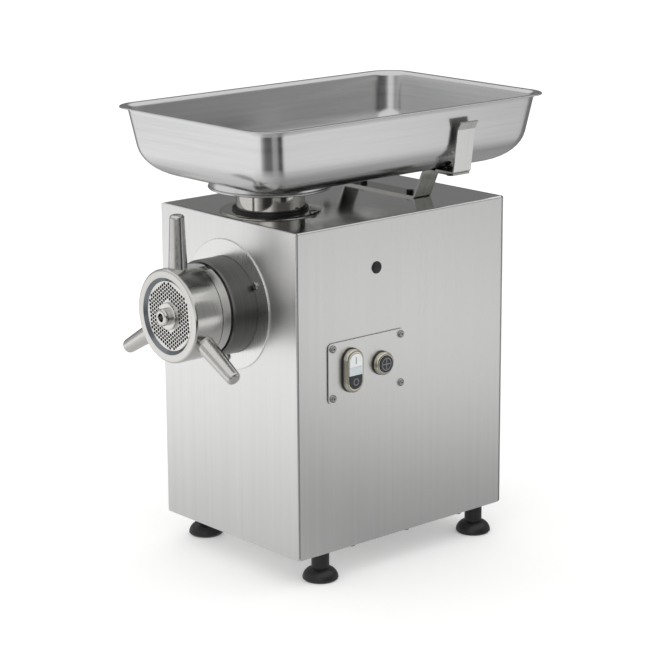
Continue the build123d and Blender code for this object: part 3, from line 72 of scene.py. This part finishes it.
def finish(name, metallic, colours, roughness, lengths, relief, detail=2.0, turned=None, **sockets):
    """A surface with one grain, in millimetres along X, Y and Z, in its colour, gloss and height.

    A turned surface has an axis, as a point and the direction of the axis, and its grain is given
    in millimetres across the radius and along the axis.
    """
    material = bpy.data.materials.new(name)
    material.use_nodes = True
    material.diffuse_color = linear(colours[1])
    shader = material.node_tree.nodes["Principled BSDF"]
    shader.inputs["Metallic"].default_value = metallic
    for socket, value in sockets.items():
        shader.inputs[socket.replace("_", " ")].default_value = value
    place = add(material, "TexCoord").outputs["Object"]
    if turned:
        point, axis = turned
        away = add(material, "VectorMath", {"operation": "SUBTRACT", 1: point}, {0: place})
        out = away.outputs[0]
        across = [1 - a for a in axis]
        spread = add(material, "VectorMath", {"operation": "MULTIPLY", 1: across}, {0: out})
        radius = add(material, "VectorMath", {"operation": "LENGTH"}, {0: spread.outputs[0]})
        along = add(material, "VectorMath", {"operation": "DOT_PRODUCT", 1: axis}, {0: out})
        place = add(
            material, "CombineXYZ", {}, {0: radius.outputs["Value"], 1: along.outputs["Value"]}
        ).outputs[0]
    drawn = add(material, "Mapping", {"Scale": [1000 / mm for mm in lengths]}, {"Vector": place})
    noise = add(
        material,
        "TexNoise",
        {"Scale": 1.0, "Detail": detail, "Roughness": 0.6},
        {"Vector": drawn.outputs[0]},
    )
    ends = {"From Min": 0.3, "From Max": 0.7}  # the noise seldom goes past these
    grain = add(material, "MapRange", ends, {"Value": noise.outputs[0]})
    tint = {"data_type": "RGBA", 6: linear(colours[0]), 7: linear(colours[1])}
    colour = add(material, "Mix", tint, {0: grain.outputs[0]})
    gloss_ends = {"To Min": roughness[0], "To Max": roughness[1]}
    gloss = add(material, "MapRange", gloss_ends, {"Value": grain.outputs[0]})
    bump = add(material, "Bump", {"Distance": relief / 1000}, {"Height": grain.outputs[0]})
    for socket, source in (
        ("Base Color", colour.outputs[2]),
        ("Roughness", gloss.outputs[0]),
        ("Normal", bump.outputs[0]),
    ):
        material.node_tree.links.new(source, shader.inputs[socket])
    return material


def dress(material, *names):
    """Gives CAD nodes a finish."""
    for name in names:
        mesh = nodes[name].data
        mesh.materials.clear()
        mesh.materials.append(material)


PEBBLE = (1.2, 1.2, 1.2)  # the grain of the mould
foot_rubber = finish(
    "moulded_black_rubber", 0.0, ("#131314", "#1C1C1D"), (0.3, 0.46), PEBBLE, 0.04
)
dress(foot_rubber, "feet")

# ------------------------------------------------------------- frame and floor of the case
# The floor of the case is a folded stainless sheet with vent slots. On it stand a bent plate that
# carries the barrel and a folded stand under the gearbox, both in grey primer, on 8 mm bolts.

# Stainless brushed by a belt: lines 0.1 mm wide, drawn in bands of up to 9 mm so that they show.
LINES = 9.0
LONG = 900.0  # a line runs on past the end of any panel
BRUSHED = ("#DEDEDD", "#E4E4E3")
BRUSHED_GLOSS = (0.31, 0.36)
panel_steel = finish(
    "brushed_stainless_panel", 1.0, BRUSHED, BRUSHED_GLOSS, (LINES, LONG, LONG), 0.003, 4.0
)
dress(panel_steel, "base_plate")

# Sprayed primer levels to a soft orange peel about 2 mm across.
primer = finish("sprayed_grey_primer", 0.0, ("#383B3E", "#43474A"), (0.48, 0.6), (2, 2, 2), 0.03)
dress(primer, "barrel_support", "gearbox_stand")

# Zinc-plated bolt heads: bright, a little clouded.
bolt_zinc = finish("zinc_plated_steel", 1.0, ("#A9ABAD", "#C0C2C3"), (0.24, 0.38), (3, 3, 3), 0.01)
dress(bolt_zinc, "frame_bolts", "motor_tie_bolts")

# ------------------------------------------------------------- gearbox
# Two sand-cast aluminium shells with a paper gasket between them, closed by eight socket screws.
# Two steps of hobbed steel gears turn in ground ball bearings.

# Sand casting: grains of about 0.8 mm stand out of a dull pale grey skin.
SAND = (1.6, 1.6, 1.6)
cast_aluminium = finish(
    "sand_cast_aluminium", 1.0, ("#93969A", "#ABADB0"), (0.46, 0.62), SAND, 0.1
)
dress(cast_aluminium, "gearbox_housing", "gearbox_cover")

# Pressed gasket paper, tan, with a short felted fibre.
gasket_paper = finish("gasket_paper", 0.0, ("#5C4F38", "#716246"), (0.7, 0.85), (4, 4, 0.8), 0.03)
dress(gasket_paper, "gearbox_gasket")

# Socket screws of polished stainless, which show as dark glints.
screw_steel = finish(
    "polished_screw_steel", 1.0, ("#8F8F8D", "#ACACAA"), (0.12, 0.22), (1, 1, 1), 0.004
)
dress(screw_steel, "gearbox_screws")

AXIS_Y = (0, 1, 0)
AXIS_Z = (0, 0, 1)


def middle(node):
    """The middle of a CAD node's box."""
    low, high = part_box(node)
    return [(a + b) / 2 for a, b in zip(low, high)]


# Hobbed and oiled steel: turning marks 0.2 mm apart on the sides, drawn 1 mm apart.
GEAR_TRAIN = (
    "output_shaft", "output_gear", "pinion_shaft", "intermediate_gear", "motor_shaft",
    "motor_pinion",
)
for name in GEAR_TRAIN:
    gear_steel = finish(
        "oiled_" + name, 1.0, ("#6A6A6B", "#858586"), (0.2, 0.34), (1, 1, 1), 0.01,
        turned=(middle(name), AXIS_Y),
    )
    dress(gear_steel, name)

# Ground bearing rings: near mirror, with the finest of grinding lines along the depth.
bearing_steel = finish(
    "ground_bearing_steel", 1.0, ("#A8A9AB", "#BDBEC0"), (0.1, 0.18), (40, 1, 40), 0.002
)
dress(bearing_steel, "ball_bearings")

# ------------------------------------------------------------- motor
# An induction motor between two cast end shields on long tie bolts: laminated stator with wound
# copper, a rotor on the shaft, a moulded fan and a pressed cowl over it.

dress(cast_aluminium, "motor_housing", "motor_end_shields")
motor_line = middle("rotor_core")

# Stacked sheets of 0.5 mm, drawn 2 mm thick, with blue-grey varnish between them.
core_steel = finish(
    "stacked_core_sheets", 0.7, ("#2C2D30", "#47484B"), (0.4, 0.6), (300, 2, 300), 0.08
)
dress(core_steel, "stator_core", "rotor_core")

# Enamelled copper wire 0.8 mm thick, drawn 2 mm thick: brown-red rounds along the ring.
winding = finish(
    "enamelled_copper_wire", 0.6, ("#6E3416", "#A8592C"), (0.25, 0.4), (2, 2, 1), 0.3,
    turned=(motor_line, AXIS_Y), Coat_Weight=0.4,
)
dress(winding, "stator_windings")

# Moulded glass-filled nylon: black, with a dull, slightly rough skin.
nylon = finish(
    "moulded_black_nylon", 0.0, ("#121213", "#1B1B1C"), (0.38, 0.52), (0.9, 0.9, 0.9), 0.03
)
dress(nylon, "motor_fan")
dress(primer, "fan_cowl")

# ------------------------------------------------------------- electrics
# A run capacitor in a grey can and a contactor of moulded grey plastic stand behind the gearbox.

grey_plastic = finish(
    "moulded_grey_plastic", 0.0, ("#54575A", "#5F6366"), (0.4, 0.55), (1, 1, 1), 0.03
)
dress(grey_plastic, "capacitor", "contactor", "contact_blocks")

# ------------------------------------------------------------- case
# Stainless sheet folded over both sides and the top, with front and rear panels set into it.
# The belt's lines stand upright on the sides and run across on the top, which is brighter polished.

TOP_GLOSS = 0.34  # the top's roughness as a share of the sides'
wrapper_steel = finish(
    "brushed_stainless_wrapper", 1.0, BRUSHED, BRUSHED_GLOSS, (LONG, LINES, LONG), 0.003, 4.0
)
shader = wrapper_steel.node_tree.nodes["Principled BSDF"]
facing = add(wrapper_steel, "TexCoord").outputs["Normal"]
upward = add(wrapper_steel, "SeparateXYZ", {}, {0: facing}).outputs[2]
on_top = add(
    wrapper_steel,
    "MapRange",
    {"From Min": 0.6, "From Max": 0.8, "To Min": 1.0, "To Max": TOP_GLOSS},
    {"Value": upward},
)
rough = shader.inputs["Roughness"].links[0].from_socket
both = add(wrapper_steel, "Math", {"operation": "MULTIPLY"}, {0: rough, 1: on_top.outputs[0]})
wrapper_steel.node_tree.links.new(both.outputs[0], shader.inputs["Roughness"])
dress(wrapper_steel, "case_wrapper")
dress(panel_steel, "front_panel", "rear_panel")
dress(screw_steel, "case_screws")

# The gland and the blind plug are moulded in black nylon too; no lead is drawn out of the gland.
dress(nylon, "cable_gland", "side_plug")

# ------------------------------------------------------------- head mounting
# A satin disc covers the hole in the front. The barrel is turned from stainless and sits in a
# collar of darker satin steel, located by a key, with a lip seal behind it.

disc_steel = finish(
    "satin_stainless_disc", 1.0, BRUSHED, (0.24, 0.3), (LINES, LONG, LONG), 0.002, 4.0
)
dress(disc_steel, "flange_disc")

barrel_line = (0.0, 0.0, middle("ring_nut")[2])

# Turned and blasted: fine rings, dark and even.
TURNING = (1.5, 1.5, 1)
collar_steel = finish(
    "dark_satin_turned_steel", 1.0, ("#666664", "#70706E"), (0.3, 0.38), TURNING, 0.003,
    turned=(barrel_line, AXIS_Y),
)
dress(collar_steel, "mount_collar")

# Turned and satin polished: the tool's rings are 0.2 mm apart, drawn 1.5 mm apart.
turned_steel = finish(
    "turned_stainless", 1.0, ("#C4C3C0", "#D0CFCC"), (0.15, 0.22), TURNING, 0.002,
    turned=(barrel_line, AXIS_Y),
)
dress(turned_steel, "grinding_barrel")
dress(screw_steel, "locating_keys")
dress(foot_rubber, "shaft_seal")

# ------------------------------------------------------------- feed neck
# A polished tube stands in the barrel's boss. A polished disc covers the hole in the top, with a
# black sealing ring on it round the tube.

neck_line = (0.0, middle("neck_tube")[1], 0.0)
neck_steel = finish(
    "polished_turned_stainless", 1.0, ("#B9B7B1", "#C6C4BF"), (0.05, 0.1), (2, 2, 1), 0.001,
    turned=(neck_line, AXIS_Z),
)
dress(neck_steel, "neck_tube", "throat_disc")
dress(foot_rubber, "throat_base_ring")

# ------------------------------------------------------------- worm, knife, plate and ring
# The worm is cast and polished, the knife and the plate are ground flat. The ring nut that holds
# them is turned, and three tapered handles are pressed into it.

# Investment-cast and polished by hand: a faint unevenness of a few millimetres.
worm_steel = finish(
    "hand_polished_casting", 1.0, ("#C6C4C0", "#D4D2CE"), (0.1, 0.18), (4, 4, 4), 0.01
)
dress(worm_steel, "worm")

# Ground flat on a rotary table: arcs too fine to see singly, drawn 1 mm apart.
plate_steel = finish(
    "ground_plate_steel", 1.0, ("#D2D1CE", "#DEDDDA"), (0.26, 0.34), (1, 1, 1), 0.002,
    turned=(barrel_line, AXIS_Y),
)
dress(plate_steel, "hole_plate", "cross_knife")

# The ring is turned like the barrel. Its bore is painted a darker, bluer grey: painted shade and
# painted reflection in the recess.
BORE = 0.0463
BORE_PAINTED_SHADE = "#7C8084"
ring_steel = turned_steel.copy()
ring_steel.name = "turned_stainless_with_painted_bore_shade"
place = add(ring_steel, "TexCoord").outputs["Object"]
out = add(ring_steel, "VectorMath", {"operation": "SUBTRACT", 1: barrel_line}, {0: place})
spread = add(
    ring_steel, "VectorMath", {"operation": "MULTIPLY", 1: (1, 0, 1)}, {0: out.outputs[0]}
)
radius = add(ring_steel, "VectorMath", {"operation": "LENGTH"}, {0: spread.outputs[0]})
# Inside the bore's radius the colour is painted darker and bluer, as painted shade and painted
# reflection.
painted_shade_in_bore = add(
    ring_steel, "Math", {"operation": "LESS_THAN", 1: BORE}, {0: radius.outputs["Value"]}
)
shader = ring_steel.node_tree.nodes["Principled BSDF"]
outside_colour = shader.inputs["Base Color"].links[0].from_socket
shade = {"data_type": "RGBA", 7: linear(BORE_PAINTED_SHADE)}
both = add(ring_steel, "Mix", shade, {0: painted_shade_in_bore.outputs[0], 6: outside_colour})
ring_steel.node_tree.links.new(both.outputs[2], shader.inputs["Base Color"])
dress(ring_steel, "ring_nut")

# The handles are polished on a belt: short faint marks in no one direction.
handle_steel = finish(
    "belt_polished_stainless", 1.0, ("#C2C1BE", "#CDCCC9"), (0.15, 0.22), (2, 2, 6), 0.002
)
dress(handle_steel, "ring_handles")

# ------------------------------------------------------------- controls
# A brushed plate on a rubber sheet carries a double push button and a round one, in bezels of
# satin nickel over black rubber. Marks are printed on the caps: a bar, a ring, a ring with a cross.

plate_finish = finish(
    "brushed_control_plate", 1.0, BRUSHED, BRUSHED_GLOSS, (LONG, LINES, LONG), 0.003, 4.0
)
dress(plate_finish, "control_plate")
dress(screw_steel, "cover_screws")
dress(foot_rubber, "button_gaskets")
dress(nylon, "button_bodies")

nickel = finish("satin_nickel_plate", 1.0, ("#C4BFAF", "#D3CEC0"), (0.16, 0.22), (1, 1, 1), 0.002)
dress(nickel, "button_bezels")

white_cap = finish(
    "glossy_white_polycarbonate", 0.0, ("#D3D6D6", "#DCDFDF"), (0.2, 0.28), (6, 6, 6), 0.01
)
dress(white_cap, "start_button")
black_cap = finish(
    "glossy_black_polycarbonate", 0.0, ("#1B1D20", "#222428"), (0.2, 0.3), (6, 6, 6), 0.01
)
dress(black_cap, "stop_button", "reverse_button")
window = finish("pale_diffuser", 0.0, ("#B9C1C6", "#C6CED2"), (0.24, 0.34), (20, 20, 2), 0.02)
dress(window, "indicator_window")

PRINT = 0.00004  # how far the printed marks stand proud of the caps
EDGE_STEPS = 40
CORE_INSET = 0.49  # how far in a bar's middle line lies, as a share of its width


def printed_mark(name, outlines, material, body):
    """Flat printed outlines in the caps' plane, as bands of four-sided faces with a thin edge."""
    form = bmesh.new()
    for inner, outer in outlines:
        rings = [[form.verts.new(corner) for corner in ring] for ring in (inner, outer)]
        count = len(inner)
        for k in range(count):
            following = (k + 1) % count
            form.faces.new((rings[0][k], rings[0][following], rings[1][following], rings[1][k]))
    sheet = bmesh.ops.extrude_face_region(form, geom=form.faces[:])
    raised = [v for v in sheet["geom"] if isinstance(v, bmesh.types.BMVert)]
    bmesh.ops.translate(form, verts=raised, vec=(PRINT, 0, 0))
    bmesh.ops.recalc_face_normals(form, faces=form.faces[:])
    mesh = bpy.data.meshes.new(name)
    form.to_mesh(mesh)
    mesh.materials.append(material)
    mark = bpy.data.objects.new(name, mesh)
    bpy.context.scene.collection.objects.link(mark)
    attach(mark, body)


def ring_outline(x, y, z, inner, outer):
    """A printed ring about a point, as its inner and outer corners."""
    turn = [2 * pi * k / EDGE_STEPS for k in range(EDGE_STEPS)]
    return [[(x, y + r * cos(a), z + r * sin(a)) for a in turn] for r in (inner, outer)]


def bar_outline(x, y, z, wide, high):
    """A printed bar about a point, drawn as a band round its own middle line."""
    signs = ((-1, -1), (1, -1), (1, 1), (-1, 1))
    inset = CORE_INSET * min(wide, high)
    return [
        [(x, y + a * (wide / 2 - back), z + b * (high / 2 - back)) for a, b in signs]
        for back in (inset, 0)
    ]


# Pad-printed inks: a dark grey bar on the white cap, mid grey rings and cross on the black caps.
grey_ink = finish("dark_grey_ink", 0.0, ("#6B6B6B", "#767676"), (0.4, 0.5), (1, 1, 1), 0.0)
mid_ink = finish("mid_grey_ink", 0.0, ("#707377", "#7A7E82"), (0.4, 0.5), (1, 1, 1), 0.0)
cap_low, cap_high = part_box("start_button")
stop_low, stop_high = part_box("stop_button")
round_low, round_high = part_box("reverse_button")
double_y = (cap_low[1] + cap_high[1]) / 2
round_y, round_z = (round_low[1] + round_high[1]) / 2, (round_low[2] + round_high[2]) / 2
BAR_SIZE = (0.0013, 0.0085)
STOP_RING = (0.0032, 0.0043)
REVERSE_RING = (0.0068, 0.0078)
CROSS_WIDE, CROSS_LONG = 0.0011, 0.0124
BAR_BELOW_TOP = 0.0082  # the marks' places on the double button's caps
RING_ABOVE_FOOT = 0.0088
ARM = (CROSS_LONG - CROSS_WIDE) / 2
ARM_MIDDLE = (CROSS_LONG + CROSS_WIDE) / 4
printed_mark(
    "start_mark", [bar_outline(cap_high[0], double_y, cap_high[2] - BAR_BELOW_TOP, *BAR_SIZE)],
    grey_ink, "start",
)
printed_mark(
    "stop_mark", [ring_outline(stop_high[0], double_y, stop_low[2] + RING_ABOVE_FOOT, *STOP_RING)],
    mid_ink, "stop",
)
printed_mark(
    "reverse_mark",
    [
        ring_outline(round_high[0], round_y, round_z, *REVERSE_RING),
        bar_outline(round_high[0], round_y, round_z, CROSS_WIDE, CROSS_LONG),
        bar_outline(round_high[0], round_y - ARM_MIDDLE, round_z, ARM, CROSS_WIDE),
        bar_outline(round_high[0], round_y + ARM_MIDDLE, round_z, ARM, CROSS_WIDE),
    ],
    mid_ink, "reverse",
)

# ------------------------------------------------------------- bracket under the tray
# A flat bar bent into a cradle is bolted on the case and holds the tray's rear by two sprung
# clips, with blackened bolts.

bar_steel = finish(
    "polished_flat_bar", 1.0, ("#A3A29E", "#B2B1AD"), (0.1, 0.16), (60, 2, 60), 0.002
)
dress(bar_steel, "tray_bracket")
clip_steel = finish(
    "satin_spring_clip", 1.0, ("#D0D0CE", "#DEDEDC"), (0.22, 0.32), (LONG, 6, LONG), 0.01
)
dress(clip_steel, "tray_clips")
black_oxide = finish(
    "black_oxide_steel", 0.6, ("#151516", "#222224"), (0.34, 0.46), (1, 1, 1), 0.02
)
dress(black_oxide, "bracket_bolts")

# ------------------------------------------------------------- tray
# A deep tray drawn from 1.2 mm stainless, satin finished, with its rim turned outwards into a level
# lip and a collar welded under it that fits over the feed neck.

# Drawn sheet finished with a fine pad: long faint streaks level with the rim.
tray_steel = finish(
    "drawn_satin_stainless", 1.0, ("#C4C5C4", "#CDCECD"), (0.18, 0.23), (200, 200, 6), 0.001, 3.0
)
dress(tray_steel, "tray_collar")

SHEET = 0.0012
LIP = 0.0095
WALL_SLOPE = radians(9)
ROUND = 0.044  # radius between the walls and the bottom
CORNER = 0.027  # corner radius of the walls in plan
NECK_HOLE = 0.039
CORNER_STEPS = 12
SIDE_SHARES = (0.015, 0.35, 0.65, 0.985)  # points on a straight side, close to its ends
UNDER_LIP = (0.0065, 0.0080)  # depths where the wall starts, close together to keep it flat
WALL_SHARES = (0.4, 0.96, 1)
ROUND_ANGLES = (18, 26, 34, 42, 50, 58, 66, 74, 82, 90)
tray_low, tray_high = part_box("tray")
tray_middle = (tray_low[1] + tray_high[1]) / 2
half_wide, half_long = tray_high[0], (tray_high[1] - tray_low[1]) / 2
rim = tray_high[2]
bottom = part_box("tray_collar")[1][2]


def corner_radius(inset):
    """Corner radius in plan: concentric round the lip, the same all the way down the walls."""
    return CORNER + max(0, LIP - inset)


def tray_ring(inset, height):
    """Corners of a rounded rectangle at an inset from the rim, with a few points on each side."""
    radius = corner_radius(inset)
    ring = []
    quarter = [(1, 1), (-1, 1), (-1, -1), (1, -1)]
    for k, (sx, sy) in enumerate(quarter):
        centre = (sx * (half_wide - inset - radius), sy * (half_long - inset - radius))
        for step in range(CORNER_STEPS + 1):
            angle = pi / 2 * (k + step / CORNER_STEPS)
            ring.append((centre[0] + radius * cos(angle), centre[1] + radius * sin(angle)))
        start = ring[-1]
        tx, ty = quarter[(k + 1) % 4]
        centre = (tx * (half_wide - inset - radius), ty * (half_long - inset - radius))
        angle = pi / 2 * (k + 1)
        end = (centre[0] + radius * cos(angle), centre[1] + radius * sin(angle))
        for part in SIDE_SHARES:
            ring.append(tuple(a + (b - a) * part for a, b in zip(start, end)))
    return [(x, tray_middle + y, height) for x, y in ring]


def skin(offset):
    """Wall and round of one side of the sheet from lip to bottom, as (inset, height)."""
    round_middle = bottom + ROUND
    drop_end = rim - round_middle + ROUND * sin(WALL_SLOPE)
    inset_middle = LIP + drop_end * tan(WALL_SLOPE) + ROUND * cos(WALL_SLOPE)
    sideways = offset / cos(WALL_SLOPE)
    walls = [
        (LIP + drop * tan(WALL_SLOPE) + sideways, rim - drop)
        for drop in UNDER_LIP + tuple(drop_end * share for share in WALL_SHARES)
    ]
    radius = ROUND - offset
    curve = [
        (inset_middle - radius * cos(radians(a)), round_middle - radius * sin(radians(a)))
        for a in ROUND_ANGLES
    ]
    return walls + curve


# The lip is level with a turned edge, and a full round leads from it into the tray. Its points are
# the inset from the rim and the drop below it, in millimetres.
LIP_ABOVE = [
    (0.0, 0.8), (0.15, 0.3), (0.6, 0.05), (2.0, 0.0), (5.6, 0.0), (7.2, 0.2), (8.8, 0.9),
    (10.1, 2.1), (11.0, 3.7), (11.55, 5.5),
]
LIP_BELOW = [(8.9, 3.0), (8.6, 2.1), (7.9, 1.4), (7.0, 1.2), (1.6, 1.2), (0.6, 1.4), (0.1, 1.3)]
lip_above = [(inset / 1000, rim - drop / 1000) for inset, drop in LIP_ABOVE]
lip_below = [(inset / 1000, rim - drop / 1000) for inset, drop in LIP_BELOW]

form = bmesh.new()


def vertex_rings(outline):
    """A ring of vertices round the tray for each inset and height of an outline."""
    return [[form.verts.new(corner) for corner in tray_ring(*point)] for point in outline]


def neck_ring(height, like):
    """The hole over the feed neck, with each corner in the direction of a corner of the ring."""
    ring = []
    for vertex in like:
        angle = atan2(vertex.co.y - neck_line[1], vertex.co.x)
        ring.append((NECK_HOLE * cos(angle), neck_line[1] + NECK_HOLE * sin(angle), height))
    return [form.verts.new(corner) for corner in ring]


rings = vertex_rings(lip_above + skin(SHEET))
around = len(rings[0])
rings.append(neck_ring(bottom + SHEET, rings[-1]))
rings.append(neck_ring(bottom, rings[-1]))
rings += vertex_rings(skin(0)[::-1] + lip_below)
for first, second in zip(rings, rings[1:] + rings[:1]):
    for k in range(around):
        following = (k + 1) % around
        form.faces.new((first[k], first[following], second[following], second[k]))
bmesh.ops.recalc_face_normals(form, faces=form.faces[:])
mesh = bpy.data.meshes.new("drawn_tray")
form.to_mesh(mesh)
mesh.materials.append(tray_steel)
for face in mesh.polygons:
    face.use_smooth = True
drawn_tray = bpy.data.objects.new("drawn_tray", mesh)
bpy.context.scene.collection.objects.link(drawn_tray)
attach(drawn_tray, "loose_tray")
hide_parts("tray")

# ------------------------------------------------------------- studio
# A pale floor under an even white sky. White cards and black flags lie on the floor and stand round
# it: they show only as reflections in the steel.


def stage_mesh(name, corners, faces, material):
    """A sheet of the studio, which isn't part of the object."""
    mesh = bpy.data.meshes.new(name)
    mesh.from_pydata(corners, [], faces)
    mesh.materials.append(material)
    sheet = bpy.data.objects.new(name, mesh)
    bpy.context.scene.collection.objects.link(sheet)
    return sheet


FLOOR_REACH = 9.0
FLOOR_Z = -0.0002
FLOOR_GLOW = 0.22  # lifts the floor to white away from the machine
floor_paint = finish(
    "matt_white_floor", 0.0, ("#F3F3F2", "#F5F5F4"), (0.88, 0.94), (400, 400, 400), 0.0
)
shader = floor_paint.node_tree.nodes["Principled BSDF"]
shader.inputs["Emission Color"].default_value = (1, 1, 1, 1)
shader.inputs["Emission Strength"].default_value = FLOOR_GLOW
stage_mesh(
    "floor",
    [(x * FLOOR_REACH, y * FLOOR_REACH, FLOOR_Z) for x, y in ((-1, -1), (1, -1), (1, 1), (-1, 1))],
    [(0, 1, 2, 3)],
    floor_paint,
)

CARD_RADIUS = 4.0
CARD_HEIGHT = 2.6
CARD_Z = 0.0001
UPRIGHT_FROM = 0.005  # height above which a card counts as upright
SIDES = 72
BRIGHTEST = 1.3
# Brightness by bearing from the +X axis, in degrees: near the machine, further out, and upright.
NEAR = [(-180, 0.86), (-90, 0.9), (-30, 0.65), (10, 0.5), (60, 0.5), (180, 0.7)]
FAR = [
    (-180, 0.34), (-170, 0.45), (-160, 1.2), (-88, 1.2), (-76, 0.45), (-63, 0.08), (-54, 0.04),
    (-38, 0.04), (-31, 0.5), (-12, 0.42), (-5, 0.04), (10, 0.04), (24, 1.05), (42, 1.05),
    (50, 0.82), (62, 0.7), (68, 0.3), (100, 0.25), (180, 0.34),
]
UPRIGHT = [
    (-180, 0.4), (-160, 0.6), (-115, 0.66), (-80, 0.4), (-62, 0.9), (-42, 0.95), (-28, 0.3),
    (-14, 0.12), (22, 0.12), (36, 0.34), (50, 0.42), (80, 0.32), (100, 0.2), (170, 0.19),
    (180, 0.4),
]
# Share of that brightness by distance from the middle of the machine, in metres.
FALL_OFF = [
    (0.0, 0.6), (0.25, 0.75), (0.5, 0.88), (0.9, 0.96), (1.4, 1.0), (2.2, 0.84), (4.0, 0.78),
]
NEAR_REACH, FAR_REACH = 0.45, 1.1


def read_off(material, points, source, full=BRIGHTEST):
    """A brightness, as a share of full, read off a line through the points where the source is."""
    low, high = points[0][0], points[-1][0]
    place = add(material, "MapRange", {"From Min": low, "From Max": high}, {"Value": source})
    ramp = add(material, "ValToRGB", {}, {"Fac": place.outputs[0]})
    stops = ramp.color_ramp.elements
    while len(stops) < len(points):
        stops.new(1.0)
    for stop, (where, value) in zip(stops, points):
        stop.position = (where - low) / (high - low)
        stop.color = (value / full, value / full, value / full, 1)
    return ramp.outputs["Color"]


cards = bpy.data.materials.new("studio_cards")
cards.use_nodes = True
place = add(cards, "TexCoord").outputs["Object"]
parts = add(cards, "SeparateXYZ", {}, {0: place})
bearing = add(cards, "Math", {"operation": "ARCTAN2"}, {0: parts.outputs[1], 1: parts.outputs[0]})
degree = add(cards, "Math", {"operation": "DEGREES"}, {0: bearing.outputs[0]}).outputs[0]
flat = add(cards, "VectorMath", {"operation": "MULTIPLY", 1: (1, 1, 0)}, {0: place})
distance = add(cards, "VectorMath", {"operation": "LENGTH"}, {0: flat.outputs[0]}).outputs["Value"]
reach = add(cards, "MapRange", {"From Min": NEAR_REACH, "From Max": FAR_REACH}, {"Value": distance})
table = add(
    cards,
    "Mix",
    {"data_type": "RGBA"},
    {0: reach.outputs[0], 6: read_off(cards, NEAR, degree), 7: read_off(cards, FAR, degree)},
)
faded = add(
    cards,
    "VectorMath",
    {"operation": "MULTIPLY"},
    {0: table.outputs[2], 1: read_off(cards, FALL_OFF, distance, 1)},
)
above = add(cards, "Math", {"operation": "GREATER_THAN", 1: UPRIGHT_FROM}, {0: parts.outputs[2]})
everywhere = add(
    cards,
    "Mix",
    {"data_type": "RGBA"},
    {0: above.outputs[0], 6: faded.outputs[0], 7: read_off(cards, UPRIGHT, degree)},
)
glow = add(cards, "Emission", {"Strength": BRIGHTEST}, {"Color": everywhere.outputs[2]})
output = cards.node_tree.nodes["Material Output"]
cards.node_tree.links.new(glow.outputs[0], output.inputs["Surface"])
bearings = [2 * pi * k / SIDES for k in range(SIDES)]
circle = [(CARD_RADIUS * cos(a), CARD_RADIUS * sin(a)) for a in bearings]
corners = [(x, y, CARD_Z) for x, y in circle] + [(x, y, CARD_HEIGHT) for x, y in circle]
walls = [(k, (k + 1) % SIDES, SIDES + (k + 1) % SIDES, SIDES + k) for k in range(SIDES)]
surround = stage_mesh("studio_cards", corners, [tuple(range(SIDES))] + walls, cards)
surround.visible_camera = False
surround.visible_diffuse = False
surround.visible_shadow = False
surround.visible_transmission = False
surround.visible_volume_scatter = False

world = bpy.data.worlds.new("studio")
world.use_nodes = True
bpy.context.scene.world = world
background = world.node_tree.nodes["Background"]
background.inputs[0].default_value = (1, 1, 1, 1)
background.inputs[1].default_value = 1.0

bpy.context.scene.view_settings.view_transform = "Standard"

# ------------------------------------------------------------- camera
# A long lens a little above the machine's middle, looking at the front right-hand corner.

AZIMUTH = radians(49.015)
ELEVATION = radians(14.258)
ROLL = radians(-0.366)
DISTANCE = 2.89737
AIM = Vector((0, 0.01818, 0.237))
SIDE_STEP = -0.011492
RISE = 0.037678
SENSOR = 36.0
FOCAL_LENGTH = 127.31793

back = Vector((sin(AZIMUTH) * cos(ELEVATION), -cos(AZIMUTH) * cos(ELEVATION), sin(ELEVATION)))
right = Vector((cos(AZIMUTH), sin(AZIMUTH), 0))
up = back.cross(right)
tilted_right = right * cos(ROLL) + up * sin(ROLL)
tilted_up = up * cos(ROLL) - right * sin(ROLL)
lens = bpy.data.cameras.new("camera")
lens.lens = FOCAL_LENGTH
lens.sensor_width = SENSOR
camera = bpy.data.objects.new("camera", lens)
bpy.context.scene.collection.objects.link(camera)
place = Matrix((tilted_right, tilted_up, back)).transposed().to_4x4()
place.translation = AIM + back * DISTANCE + tilted_right * SIDE_STEP + tilted_up * RISE
camera.matrix_world = place
bpy.context.scene.camera = camera
